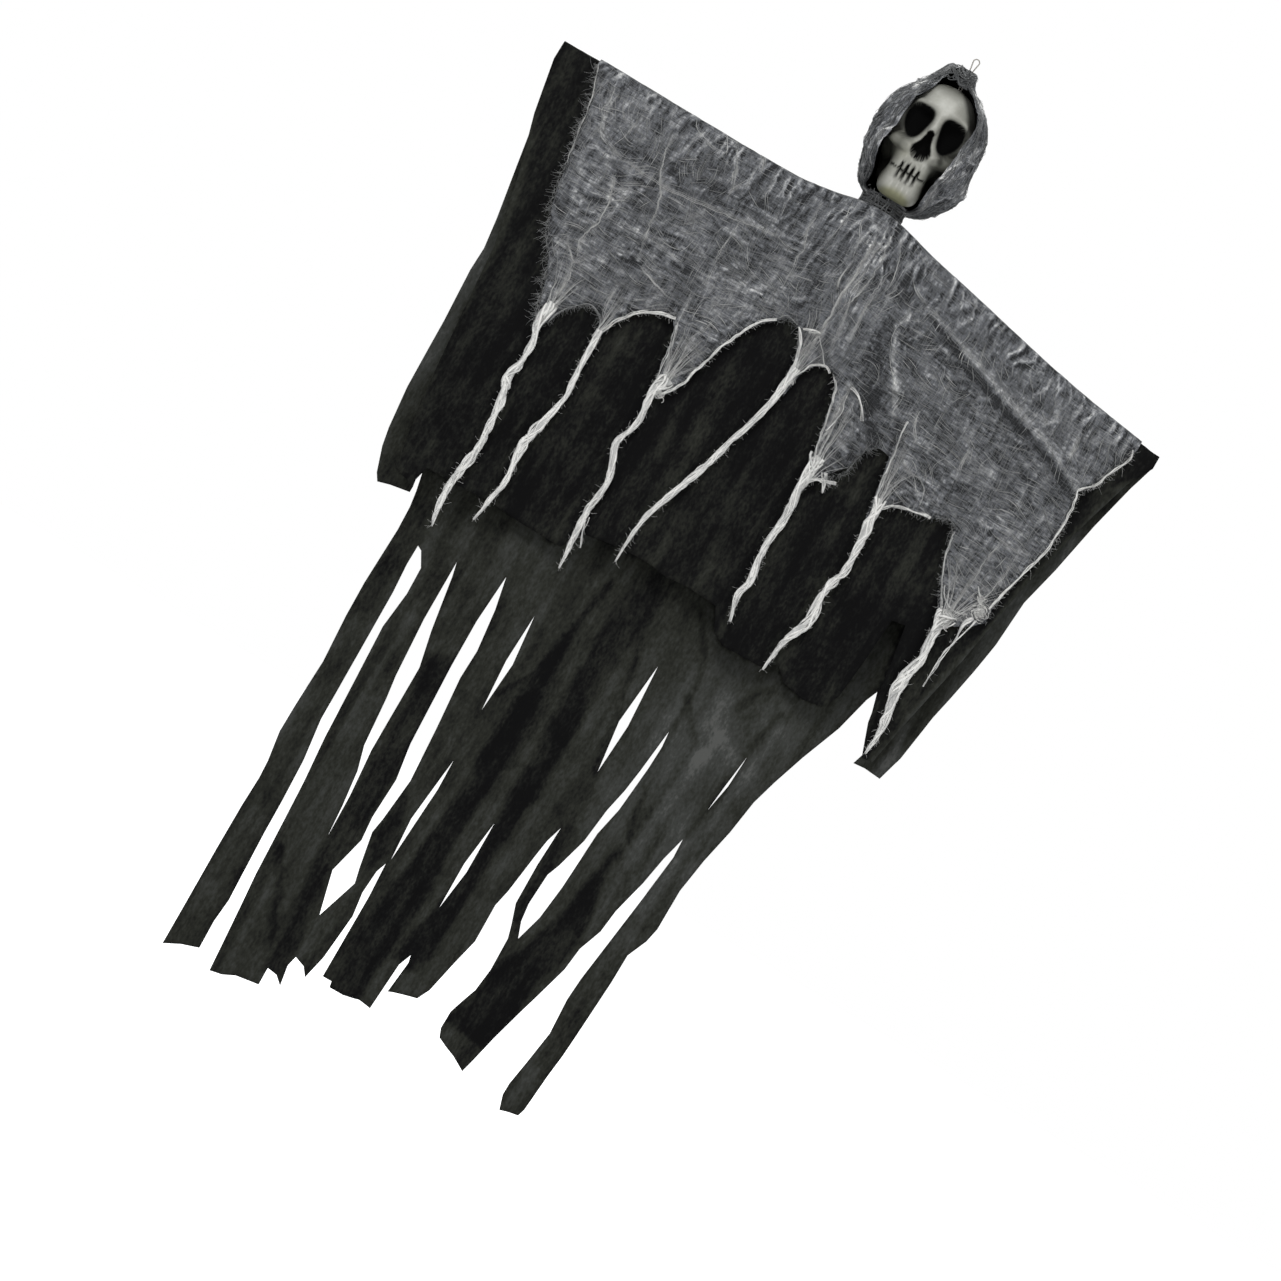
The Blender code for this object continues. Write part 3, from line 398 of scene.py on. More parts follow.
def swing(x, below, side):
    """How far the robe stands off the shoulder fold, below the wire: the same as the solid's."""
    open_out = 9.0 * (1 - np.exp(-below / 130.0))
    loose = np.minimum(below / 260.0, 1.0)
    waves = 3.2 * np.sin(x / 31.0 + below / 210.0 + side) + 2.4 * np.sin(x / 19.5 - below / 160.0)
    bulge = NECK_BULGE * np.exp(-(((x - NECK_X) / BULGE_WIDTH) ** 2)) * np.exp(-below / BULGE_DROP)
    return open_out + loose * waves + bulge


def hung(x, along, fold, apart=0.0, relief=None):
    """The places of a sheet's points. along runs over the shoulder fold, forwards and down if positive."""
    x, along = np.broadcast_arrays(np.asarray(x, float), np.asarray(along, float))
    quarter = fold * math.pi / 2
    side = np.where(along >= 0, 1.0, -1.0)
    angle = np.minimum(np.abs(along), quarter) / fold
    below = np.maximum(np.abs(along) - quarter, 0.0)
    height = wire_height(x) + fold * np.cos(angle) - below
    near_neck = np.exp(-(((x - NECK_X) / BULGE_WIDTH / 1.4) ** 2)) * np.sin(angle)
    settled = np.maximum(1 - np.exp(-below / 12.0), near_neck)
    out = swing(x, below, side) * np.sin(angle) + apart * settled
    if relief is not None:
        out = out + relief(x, height, side) * settled
    return at(x, -side * (fold * np.sin(angle) + out), height)


def unfolded(points, fold, side):
    quarter = fold * math.pi / 2
    return [(x, side * (quarter + float(wire_height(x)) - height)) for x, height in points]


def inside(points, outline):
    """Whether each point lies inside a closed outline."""
    found = np.zeros(len(points), bool)
    for (ax, ay), (bx, by) in zip(outline, np.roll(outline, -1, axis=0)):
        crosses = (ay > points[:, 1]) != (by > points[:, 1])
        slope = (bx - ax) / (by - ay) if by != ay else 0.0
        found ^= crosses & (points[:, 0] < ax + slope * (points[:, 1] - ay))
    return found


def to_line(x, height, line):
    """From each point to the nearest place on a line: distance, and the way there in x and in height."""
    best = np.full(np.shape(x), np.inf)
    way_x, way_height = np.zeros(np.shape(x)), np.zeros(np.shape(x))
    for (ax, ah), (bx, bh) in zip(line, line[1:]):
        run_x, run_h = bx - ax, bh - ah
        share = clamped(((x - ax) * run_x + (height - ah) * run_h) / (run_x**2 + run_h**2))
        dx, dh = ax + share * run_x - x, ah + share * run_h - height
        off = np.hypot(dx, dh)
        nearer = off < best
        best = np.where(nearer, off, best)
        way_x, way_height = np.where(nearer, dx, way_x), np.where(nearer, dh, way_height)
    return best, way_x, way_height


def stepped(outline, step):
    """The outline's corners with points added so that no side is longer than step."""
    found = []
    for a, b in zip(outline, outline[1:] + outline[:1]):
        count = max(1, math.ceil(math.dist(a, b) / step))
        found += [tuple(np.array(a) + (np.array(b) - a) * k / count) for k in range(count)]
    return np.array(found)


def linked(name, data):
    made = bpy.data.objects.new(name, data)
    bpy.context.scene.collection.objects.link(made)
    return made


def mesh_piece(name, points, faces, finish, values=None):
    """A mesh from points in millimetres, with named float values for each point."""
    mesh = bpy.data.meshes.new(name)
    mesh.from_pydata((np.asarray(points) * MM).tolist(), [], faces)
    for key, value in (values or {}).items():
        layer = mesh.attributes.new(key, "FLOAT", "POINT")
        layer.data.foreach_set("value", np.asarray(value, np.float32))
    mesh.materials.append(finish)
    mesh.shade_smooth()
    return linked(name, mesh)


def clamped(value):
    return np.clip(value, 0, 1)


def unit(vectors):
    return vectors / np.maximum(np.linalg.norm(vectors, axis=-1), 1e-9)[..., None]


class Bundle:
    """Closed tubes of thread gathered into one mesh, each point with a tone from 0, dull, to 1, bright."""

    def __init__(self):
        self.points, self.faces, self.tones, self.count = [], [], [], 0

    def add(self, path, out, wide, high, tone, sides=3):
        """A tube along the path, wide across it and high along the direction out."""
        path = np.asarray(path, float)
        count = len(path)
        run = unit(np.gradient(path, axis=0))
        across = unit(np.cross(run, np.broadcast_to(out, path.shape)))
        up = np.cross(across, run)
        turns = (np.arange(sides) * TAU / sides + TAU / 4)[None, :, None]
        wide = np.broadcast_to(wide, count)[:, None, None] / 2
        high = np.broadcast_to(high, count)[:, None, None] / 2
        ring = np.cos(turns) * across[:, None] * wide + np.sin(turns) * up[:, None] * high
        self.points.append((path[:, None] + ring).reshape(-1, 3))
        self.tones.append(np.repeat(np.broadcast_to(tone, count), sides))
        rows = self.count + np.arange(count - 1)[:, None] * sides
        corner = np.arange(sides)[None]
        after = (corner + 1) % sides
        quads = np.stack([rows + corner, rows + sides + corner, rows + sides + after, rows + after], axis=-1)
        self.faces.extend(quads.reshape(-1, 4).tolist())
        self.faces.append(list(range(self.count, self.count + sides)))
        last = self.count + (count - 1) * sides
        self.faces.append(list(range(last, last + sides))[::-1])
        self.count += count * sides

    def made(self, name, finish):
        values = {"tone": np.concatenate(self.tones)}
        return mesh_piece(name, np.vstack(self.points), self.faces, finish, values)

    def gauze(self, name):
        """The bundle as loose gauze on the body."""
        piece = self.made(name, GAUZE)
        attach(piece, "root")
        return piece


def by_lines(x, height, lines):
    """What lines of (points, reach, amount) add to each place, less the further it is from them."""
    found = np.zeros(np.shape(x))
    for line, reach, amount in lines:
        off, _, _ = to_line(x, height, line)
        found += amount * np.exp(-((off / reach) ** 2))
    return found


# Materials


def material(name, roughness, specular, metallic=0.0):
    made = bpy.data.materials.new(name)
    made.use_nodes = True
    principled = made.node_tree.nodes["Principled BSDF"]
    principled.inputs["Roughness"].default_value = roughness
    principled.inputs["Specular IOR Level"].default_value = specular
    principled.inputs["Metallic"].default_value = metallic
    return made, made.node_tree, principled


def texture(tree, scale, detail=3.0, stretch=(1, 1, 1), rough=0.55):
    """Noise in the piece's own metres: scale is in humps a metre."""
    place = tree.nodes.new("ShaderNodeTexCoord")
    mapping = tree.nodes.new("ShaderNodeMapping")
    mapping.inputs["Scale"].default_value = stretch
    pattern = tree.nodes.new("ShaderNodeTexNoise")
    pattern.inputs["Scale"].default_value = scale
    pattern.inputs["Detail"].default_value = detail
    pattern.inputs["Roughness"].default_value = rough
    tree.links.new(place.outputs["Object"], mapping.inputs["Vector"])
    tree.links.new(mapping.outputs["Vector"], pattern.inputs["Vector"])
    return pattern.outputs["Fac"]


def attribute(tree, name):
    found = tree.nodes.new("ShaderNodeAttribute")
    found.attribute_name = name
    return found.outputs["Fac"]


def ramp(tree, factor, stops):
    """A colour for each place of the factor."""
    made = tree.nodes.new("ShaderNodeValToRGB")
    elements = made.color_ramp.elements
    while len(elements) < len(stops):
        elements.new(0.5)
    for element, (place, colour) in zip(elements, stops):
        element.position = place
        element.color = (*colour, 1.0)
    tree.links.new(factor, made.inputs["Fac"])
    return made.outputs["Color"]


def coloured(tree, principled, factor, stops):
    tree.links.new(ramp(tree, factor, stops), principled.inputs["Base Color"])


def mixed(tree, factor, under, over):
    """The colour over, laid by the factor on what lies under it."""
    made = tree.nodes.new("ShaderNodeMix")
    made.data_type = "RGBA"
    tree.links.new(factor, made.inputs[0])
    tree.links.new(under, made.inputs[6])
    made.inputs[7].default_value = (*over, 1.0)
    return made.outputs[2]


def sums(tree, kind, *values):
    made = tree.nodes.new("ShaderNodeMath")
    made.operation = kind
    for place, value in enumerate(values):
        if isinstance(value, (float, int)):
            made.inputs[place].default_value = value
        else:
            tree.links.new(value, made.inputs[place])
    return made.outputs[0]


def weighted(tree, start, *terms):
    """The start with each (value, weight) added to it."""
    found = start
    for value, weight in terms:
        found = sums(tree, "MULTIPLY_ADD", value, weight, found)
    return found


def bumped(tree, principled, height, strength, distance):
    bump = tree.nodes.new("ShaderNodeBump")
    bump.inputs["Strength"].default_value = strength
    bump.inputs["Distance"].default_value = distance
    tree.links.new(height, bump.inputs["Height"])
    tree.links.new(bump.outputs["Normal"], principled.inputs["Normal"])


def gauze_finish():
    made, tree, principled = material("grey gauze", 0.92, 0.15)
    tone = weighted(tree, -0.25, (attribute(tree, "tone"), 1.0), (texture(tree, 700, 2.0), 0.5))
    coloured(tree, principled, tone, [(0.0, (0.07, 0.072, 0.074)), (0.35, (0.22, 0.225, 0.225)),
                                      (0.7, (0.48, 0.48, 0.47)), (1.0, (0.76, 0.755, 0.73))])
    bumped(tree, principled, texture(tree, 2600, 1.0), 0.3, 0.0002)
    return made


def ridged(tree, pattern):
    """Thin bright lines where the pattern crosses its middle value."""
    off = sums(tree, "ABSOLUTE", sums(tree, "SUBTRACT", pattern, 0.5))
    return sums(tree, "MAXIMUM", weighted(tree, 1.0, (off, -9.0)), 0.0)


def woven_finish():
    """Close gauze: the attribute tone sets its shade, painted highlights and shadows included, and upright how
    its small wrinkles run.
    """
    made, tree, principled = material("woven gauze", 0.95, 0.1)
    standing = ridged(tree, texture(tree, 120, 3.0, (1.0, 1.0, 0.3), rough=0.6))
    level = ridged(tree, texture(tree, 130, 3.0, (0.3, 1.0, 1.0), rough=0.6))
    upright = attribute(tree, "upright")
    lying = sums(tree, "MULTIPLY", level, weighted(tree, 1.0, (upright, -1.0)))
    lines = weighted(tree, lying, (standing, upright))
    warp, weft = texture(tree, 900, 2.0, (1.0, 1.0, 0.12)), texture(tree, 900, 2.0, (0.12, 1.0, 1.0))
    # the small wrinkle lines are painted lighter, a painted highlight, as well as bumped
    tone = weighted(tree, -0.97, (attribute(tree, "tone"), 1.0), (lines, 0.26), (warp, 0.62), (weft, 0.62),
                    (texture(tree, 60, 4.0), 0.5))
    coloured(tree, principled, tone, [(0.0, (0.03, 0.031, 0.033)), (0.35, (0.148, 0.154, 0.165)),
                                      (0.7, (0.40, 0.405, 0.41)), (1.0, (0.72, 0.72, 0.70))])
    bumped(tree, principled, weighted(tree, lines, (warp, 0.3), (weft, 0.3)), 0.8, 0.001)
    return made


def black_cloth_finish():
    """Non-woven cloth. The attribute tone runs from 0, several layers, to 1, one thin layer, with light from
    behind painted lighter where fewer layers let it through.
    """
    made, tree, principled = material("black cloth", 0.95, 0.03)
    cloud = texture(tree, 55, 4.0, (1.0, 1.0, 0.6), rough=0.65)
    fibre = texture(tree, 480, 3.0, (1.0, 1.0, 0.5))
    # crease streaks lighten and darken the colour as painted fold shading, and also raise the bump
    crease = texture(tree, 90, 3.0, (1.0, 0.3, 0.08))
    tone = weighted(tree, -1.15, (attribute(tree, "tone"), 1.0), (cloud, 0.782), (fibre, 0.69),
                    (crease, 0.828))
    coloured(tree, principled, tone, [(0.0, (0.005, 0.005, 0.0052)), (0.12, (0.0078, 0.008, 0.0078)),
                                      (0.42, (0.0225, 0.0235, 0.0195)), (0.8, (0.047, 0.049, 0.046)),
                                      (1.0, (0.08, 0.082, 0.078))])
    bumped(tree, principled, weighted(tree, fibre, (crease, 2.0)), 0.4, 0.0005)
    return made


def bone_finish():
    made, tree, principled = material("aged plastic", 0.5, 0.2)
    ink_and_shade = attribute(tree, "ink_and_shade")
    clean = ramp(tree, texture(tree, 70, 5.0, rough=0.6),
                 [(0.3, (0.27, 0.27, 0.24)), (0.55, (0.37, 0.37, 0.335)), (0.75, (0.46, 0.46, 0.425))])
    # olive, then the darker wash and painted shade, then ink and painted shade are laid over the clean colour
    olive = mixed(tree, attribute(tree, "olive"), clean, (0.20, 0.20, 0.115))
    washed_and_shaded = mixed(tree, attribute(tree, "wash_and_shade"), olive, (0.075, 0.076, 0.062))
    painted = mixed(tree, ink_and_shade, washed_and_shaded, (0.0035, 0.0035, 0.0035))
    tree.links.new(painted, principled.inputs["Base Color"])
    # ink and painted shade also take the shine away
    tree.links.new(weighted(tree, 0.25, (ink_and_shade, -0.25)), principled.inputs["Specular IOR Level"])
    bumped(tree, principled, texture(tree, 900, 3.0), 0.12, 0.0003)
    return made


def steel_finish():
    made, tree, principled = material("steel wire", 0.35, 0.5, metallic=1.0)
    coloured(tree, principled, texture(tree, 500, 3.0), [(0.3, (0.32, 0.32, 0.32)), (0.7, (0.5, 0.5, 0.5))])
    return made


def cord_finish(name, dark, light):
    made, tree, principled = material(name, 0.85, 0.2)
    place = tree.nodes.new("ShaderNodeTexCoord")
    wave = tree.nodes.new("ShaderNodeTexWave")
    wave.bands_direction = "DIAGONAL"
    wave.inputs["Scale"].default_value = 420
    wave.inputs["Distortion"].default_value = 2.0
    tree.links.new(place.outputs["Object"], wave.inputs["Vector"])
    coloured(tree, principled, wave.outputs["Fac"], [(0.2, dark), (0.8, light)])
    bumped(tree, principled, wave.outputs["Fac"], 0.6, 0.0002)
    return made


GAUZE, WOVEN, BLACK_CLOTH = gauze_finish(), woven_finish(), black_cloth_finish()
BONE, STEEL = bone_finish(), steel_finish()
BLACK_CORD = cord_finish("black cord", (0.012, 0.012, 0.012), (0.035, 0.035, 0.034))
GREY_STRING = cord_finish("grey string", (0.2, 0.19, 0.17), (0.46, 0.44, 0.40))


# Camera, light and surroundings


def camera():
    data = bpy.data.cameras.new("camera")
    data.lens, data.sensor_width = LENS, SENSOR
    made = linked("camera", data)
    away = VIEW_WIDE * LENS / SENSOR
    right = Vector((math.cos(ROLL), 0, math.sin(ROLL)))
    up = Vector((-math.sin(ROLL), 0, math.cos(ROLL)))
    back = Vector((0, -1, 0))
    place = Vector((VIEW_CENTRE[0], OBJECT_Y - away, VIEW_CENTRE[1])) * MM
    made.matrix_world = Matrix.Translation(place) @ Matrix((right, up, back)).transposed().to_4x4()
    data.clip_start, data.clip_end = 0.1, 20.0
    bpy.context.scene.camera = made


def seen_or_mirrored(tree):
    """1 for rays from the camera, and for those that metal and glass send on."""
    path = tree.nodes.new("ShaderNodeLightPath")
    direct = sums(tree, "MAXIMUM", path.outputs["Is Camera Ray"], path.outputs["Is Glossy Ray"])
    return sums(tree, "MAXIMUM", direct, path.outputs["Is Transmission Ray"])


def surroundings():
    world = bpy.data.worlds.new("pale room")
    bpy.context.scene.world = world
    world.use_nodes = True
    tree = world.node_tree
    shown = tree.nodes["Background"]
    shown.inputs["Color"].default_value = (1.0, 1.0, 1.0, 1.0)
    lighting = tree.nodes.new("ShaderNodeBackground")
    lighting.inputs["Color"].default_value = (0.98, 0.99, 1.0, 1.0)
    lighting.inputs["Strength"].default_value = 0.42
    chosen = tree.nodes.new("ShaderNodeMixShader")
    tree.links.new(seen_or_mirrored(tree), chosen.inputs[0])
    tree.links.new(lighting.outputs[0], chosen.inputs[1])
    tree.links.new(shown.outputs[0], chosen.inputs[2])
    tree.links.new(chosen.outputs[0], tree.nodes["World Output"].inputs[0])

    mesh = bpy.data.meshes.new("floor")
    wide, down = 6.0, -1.12
    corners = [(x, y, down) for x, y in ((-wide, -wide), (wide, -wide), (wide, wide), (-wide, wide))]
    mesh.from_pydata(corners, [], [(0, 1, 2, 3)])
    floor = linked("floor", mesh)
    finish, tree, principled = material("pale floor", 0.9, 0.1)
    coloured(tree, principled, texture(tree, 30, 2.0), [(0.3, (0.86, 0.86, 0.86)), (0.7, (0.9, 0.9, 0.9))])
    glow = tree.nodes.new("ShaderNodeEmission")
    tree.links.new(sums(tree, "MULTIPLY", seen_or_mirrored(tree), 0.8), glow.inputs["Strength"])
    both = tree.nodes.new("ShaderNodeAddShader")
    tree.links.new(principled.outputs[0], both.inputs[0])
    tree.links.new(glow.outputs[0], both.inputs[1])
    tree.links.new(both.outputs[0], tree.nodes["Material Output"].inputs[0])
    mesh.materials.append(finish)


def lamp(name, place, size, power, aim):
    data = bpy.data.lights.new(name, "AREA")
    data.shape = "SQUARE"
    data.size = size
    data.energy = power
    made = linked(name, data)
    made.location = place
    made.rotation_mode = "QUATERNION"
    made.rotation_quaternion = (Vector(aim) - Vector(place)).to_track_quat("-Z", "Y")


def lights():
    middle = (0.0, 0.0, -0.35)
    lamp("key light", (-0.9, -2.2, 1.3), 1.0, 46, middle)
    lamp("fill light", (1.7, -2.0, 0.0), 1.4, 16, middle)
    lamp("back light", (0.6, 2.2, 0.6), 1.6, 30, middle)


# String


def hanging_string():
    """One cord up out of the crown, round and back into it."""
    foot = SKULL_TOP - CROWN_BORE_DEEP + STRING_THICK
    top = LOOP_HEIGHT - STRING_THICK / 2
    half, wide = STRING_APART / 2, LOOP_WIDE / 2
    rising = [(half, foot), (half, SKULL_TOP), (half, -5.0), (half + 0.3, 2.0), (wide, top - wide - 0.6)]
    over = [(wide * math.cos(turn), top - wide + wide * math.sin(turn)) for turn in (0.45, 1.0, math.pi / 2)]
    half_loop = rising + over
    whole = half_loop + [(-x, z) for x, z in half_loop[-2::-1]]
    route = through([(x + STRING_X, 0, z - LOOP_HEIGHT) for x, z in whole], 1.0)
    curve = bpy.data.curves.new("string", "CURVE")
    curve.dimensions = "3D"
    curve.bevel_depth = STRING_THICK / 2 * MM
    curve.bevel_resolution = 3
    curve.use_fill_caps = True
    spline = curve.splines.new("POLY")
    spline.points.add(len(route) - 1)
    for point, place in zip(spline.points, route):
        point.co = (*(Vector(place) * MM), 1.0)
    curve.materials.append(GREY_STRING)
    piece = linked("string_loop", curve)
    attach(piece, "root")
    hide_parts("hanging_string")


# Robe


def robe_relief(x, height, side):
    """Shallow creases, finer than the solid's folds."""
    low = clamped((wire_height(x) - height) / 120.0)
    fine = 0.55 * noise(x / 11, height / 60, 11) + 0.35 * noise(x / 5, height / 24, 12)
    return fine + low * 1.1 * noise(x / 17 + side, height / 140, 13)


def neck_hole(fold):
    half, high = NECK_HOLE / 2 + 2 * (fold - ROBE_FOLD), fold * 1.3
    turns = [k * TAU / 24 for k in range(24)]
    return [(NECK_X + half * math.cos(turn), high * math.sin(turn)) for turn in turns]


def cut(outline, holes, cell, seed):
    """A flat cut with holes as triangles: points and faces."""
    rng = np.random.default_rng(seed)
    loops = [stepped(outline, cell)] + [stepped(hole, cell) for hole in holes]
    low, high = loops[0].min(axis=0), loops[0].max(axis=0)
    rows = np.arange(low[1], high[1], cell * math.sqrt(0.75))
    columns = np.arange(low[0], high[0], cell)
    grid = np.array([(x + cell / 2 * (k % 2), row) for k, row in enumerate(rows) for x in columns])
    grid += rng.uniform(-0.12, 0.12, grid.shape) * cell
    kept = inside(grid, loops[0])
    for loop in loops:
        near = np.full(len(grid), np.inf)
        for a, b in zip(loop, np.roll(loop, -1, axis=0)):
            window = np.flatnonzero(kept & (np.abs(grid - a) < 2 * cell).all(axis=1))
            run, way = b - a, grid[window] - a
            share = clamped(way @ run / max(run @ run, 1e-9))
            near[window] = np.minimum(near[window], np.linalg.norm(way - share[:, None] * run, axis=1))
        kept &= near > 0.5 * cell
    for loop in loops[1:]:
        kept[kept] = ~inside(grid[kept], loop)
    points, edges = [], []
    for loop in loops:
        first, count = len(points), len(loop)
        points += [Vector(p) for p in loop]
        edges += [(first + k, first + (k + 1) % count) for k in range(count)]
    points += [Vector(p) for p in grid[kept]]
    flat, _, faces, *_ = delaunay_2d_cdt(points, edges, [], 0, 1e-6)
    flat = np.array([p[:] for p in flat])
    faces = np.array([face[:] for face in faces if len(face) == 3])
    middles = flat[faces].mean(axis=1)
    keep = inside(middles, loops[0])
    for loop in loops[1:]:
        keep &= ~inside(middles, loop)
    return flat, faces[keep].tolist()


def thickened(piece, thick):
    layer = piece.modifiers.new("cloth thickness", "SOLIDIFY")
    layer.thickness = thick * MM
    layer.offset = 0.0
    layer.use_even_offset = False


def robe_tone(x, height, alone):
    """How thin the robe looks, as light from behind painted into it: dark in front of its back, and lighter
    where the back hangs alone.
    """
    back = 0.42 + 0.26 * np.exp(-(((x - 100) / 60) ** 2) - ((height + 560) / 120) ** 2)
    # painted light from behind at the back's outer edges, where one layer hangs
    back += 0.22 * clamped((np.abs(x) - 232) / 12) * clamped((-height - 230) / 60)
    # painted darker where strips are doubled and let less light from behind through
    for patch, dark in DOUBLED:
        off, _, _ = to_line(x, height, patch + patch[:1])
        within = inside(np.stack([x, height], axis=-1), np.array(patch, float))
        back -= 0.36 * dark * clamped(0.5 + np.where(within, off, -off) / 4.0)
    # painted shade and highlights along the creases
    back += 1.5 * by_lines(x, height, BACK_CREASES)
    back += 0.09 * noise(x / 9, height / 70, 15) + 0.05 * noise(x / 15, height / 18, 16)
    front = 0.13 + 0.05 * noise(x / 26, height / 60, 14) + 0.06 * noise(x / 13, height / 110, 17)
    # painted light from behind along the front's outer edges
    levels = [-510, -400, -300, -220, -190]
    right_band = clamped((x - np.interp(height, levels, [206, 226, 246, 264, 290])) / 5)
    left_band = clamped((np.interp(height, levels, [-227, -239, -245, -262, -290]) - x) / 5)
    return np.where(alone, np.maximum(back, 0.04), front + 0.52 * right_band + 0.26 * left_band)


def robe():
    """The folded length of cloth, with light from behind painted into it: lighter where one layer hangs alone,
    darker where its strips are doubled.
    """
    quarter = ROBE_FOLD * math.pi / 2
    front, back = unfolded(FRONT_HEM, ROBE_FOLD, 1), unfolded(BACK_HEM, ROBE_FOLD, -1)
    turns = [quarter * share for share in (1.0, 0.5, 0.0, -0.5, -1.0)]
    outline = front + [(front[-1][0], turn) for turn in turns]
    outline += back[::-1] + [(front[0][0], turn) for turn in turns[::-1]]
    holes = [neck_hole(ROBE_FOLD)] + [unfolded(slit, ROBE_FOLD, -1) for slit in SLITS]
    flat, faces = cut(outline, holes, ROBE_CELL, 21)
    points = hung(flat[:, 0], flat[:, 1], ROBE_FOLD, 0.0, robe_relief)
    mirrored = np.stack([flat[:, 0], -flat[:, 1]], axis=-1)
    alone = (flat[:, 1] < -quarter) & ~inside(mirrored, stepped(outline, 50.0))
    tone = robe_tone(points[:, 0], points[:, 2] + LOOP_HEIGHT, alone)
    piece = mesh_piece("black_robe", points, faces, BLACK_CLOTH, {"tone": tone})
    thickened(piece, ROBE_THICK)
    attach(piece, "root")
    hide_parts("robe")


# Cape


def cape_relief(x, height, side):
    """The solid's folds, with the shallow ones between them."""
    creases = 1.1 * noise(x / 13, height / 34, 41) + 0.7 * noise(x / 6, height / 17, 42)
    return np.where(side > 0, by_lines(x, height, CAPE_FOLDS), 0.0) + creases


def height_at(x, along):
    return wire_height(x) + CAPE_FOLD * math.pi / 2 - along


def cape_wander(x, along):
    """Where threads lie once they have slipped and bunched."""
    x2 = x + 2.8 * noise(x / 10, along / 36, 51) + 1.9 * noise(x / 4, along / 14, 52)
    along2 = along + 2.4 * noise(x / 24, along / 9, 53) + 1.5 * noise(x / 11, along / 4, 54)
    height = height_at(x2, along2)
    move_x, move_height = np.zeros(np.shape(x2)), np.zeros(np.shape(x2))
    for line, reach, pull, _ in GATHERS:
        off, way_x, way_height = to_line(x2, height, line)
        share = pull * np.exp(-((off / reach) ** 2))
        move_x += share * way_x
        move_height += share * way_height
    front = along2 > 0
    return x2 + np.where(front, move_x, 0), along2 - np.where(front, move_height, 0)


def thin_lines(u, v, seed, sharp=0.36):
    """Fine wandering lines, 1 on a line and 0 between them."""
    return clamped(1 - np.abs(noise(u, v, seed)) / sharp)


def wrinkles(x, height):
    """Small wrinkles, upright under the shoulders and level or along the slope further down: 0 to 1."""
    drop = wire_height(x) - height
    slope = np.where(x > 40, 0.24 * (x - 40), 0.0)
    u = x + 5.0 * noise(x / 24, height / 15, 64) + 0.10 * drop * np.where(x < 0, 1.0, -0.4)
    v = height + slope + 4.5 * noise(x / 16, height / 22, 65)
    upper = np.exp(-((drop / 42.0) ** 2))
    centre = np.exp(-(((x - 12) / 26) ** 2))
    upright = thin_lines(u / 4.6, v / 27, 66) * clamped(0.55 + 0.9 * noise(x / 11, height / 17, 67))
    level = thin_lines(u / 26, v / 3.8, 68) * clamped(0.35 + noise(x / 26, height / 13, 69))
    near_middle = np.maximum(upper, centre)
    return upright * np.maximum(0.42, near_middle) + 0.6 * level * (1 - 0.7 * near_middle)


def closeness(x, height):
    """1 on a line that threads bunch along, falling off beside it."""
    found = np.zeros(np.shape(x))
    for line, reach, _, strong in GATHERS:
        off, _, _ = to_line(x, height, line)
        found = np.maximum(found, (0.55 + 0.15 * strong) * np.exp(-((off / (0.42 * reach)) ** 2)))
    return found


def cape_tone(x, along):
    height = height_at(x, along)
    cloudy = 0.07 * noise(x / 24, height / 19, 61) + 0.07 * noise(x / 8, height / 9, 62)
    # painted highlights and shadows along SHADES on the front, and lighter where threads bunch
    front = np.where(along > 0, by_lines(x, height, SHADES) + 0.34 * closeness(x, height), 0)
    # each small wrinkle gets a painted highlight and, just right of it and below, a painted shadow
    lines = 0.56 * wrinkles(x, height) - 0.5 * wrinkles(x - 2.2, height + 2.0)
    return 0.27 + cloudy + lines + front


def cape_outline():
    hem = list(LEFT_TEAR)
    for arch, root in zip(ARCHES, ROOTS + [[]]):
        hem += arch + root
    return hem + RIGHT_TEAR


def cape_flat(hem, side):
    """A half of the cape laid flat: its hem, and the edge that lies over the shoulder fold."""
    over = -CAPE_FOLD * math.pi / 2
    return np.array(unfolded(hem, CAPE_FOLD, side) + [(CAPE_RIGHT, over), (CAPE_LEFT, over)])


def cape_place(x, along):
    return hung(x, along, CAPE_FOLD, LAYER_STEP, cape_relief)


def lifted(path, lift):
    """The places of a path of (x, height) on the cape's front, lifted off it."""
    x, height = path[:, 0], path[:, 1]
    along = CAPE_FOLD * math.pi / 2 + wire_height(x) - height
    return cape_place(x, along) + np.asarray(lift)[..., None] * np.array(OUT_FRONT)


def net(bundle, outline, seed, out, wide):
    """Crossing threads that fill a flat outline, once they have slipped and bunched."""
    rng = np.random.default_rng(seed)
    low, high = outline.min(axis=0) - 2 * NET_PITCH, outline.max(axis=0) + 2 * NET_PITCH
    for way in (0, 1):
        across = np.arange(low[way], high[way], NET_PITCH)
        across += rng.uniform(-0.25, 0.25, len(across)) * NET_PITCH
        along = np.arange(low[1 - way], high[1 - way], NET_STEP)
        first, second = np.meshgrid(across, along, indexing="ij")
        u, v = cape_wander(first, second) if way == 0 else cape_wander(second, first)
        kept = inside(np.stack([u.ravel(), v.ravel()], axis=-1), outline).reshape(u.shape)
        kept &= noise(u / 3.1, v / 3.7, seed + 5 + way) > -0.9
        places = cape_place(u, v) + (0.14 - 0.28 * way) * np.array(out)
        tone = cape_tone(u, v) + rng.normal(0, 0.045, len(across))[:, None]
        for k, thick in enumerate(rng.uniform(0.88, 1.14, len(across))):
            for a, b in runs_of(kept[k]):
                spread = wide * thick * (0.72 + 0.75 * clamped(tone[k, a:b]))
                bundle.add(places[k, a:b], out, spread, 0.3 * thick, tone[k, a:b])


def runs_of(kept, shortest=3):
    """Start and end of each stretch of true values."""
    edges = np.flatnonzero(np.diff(np.concatenate([[0], kept.astype(int), [0]])))
    return [(a, b) for a, b in zip(edges[::2], edges[1::2]) if b - a >= shortest]


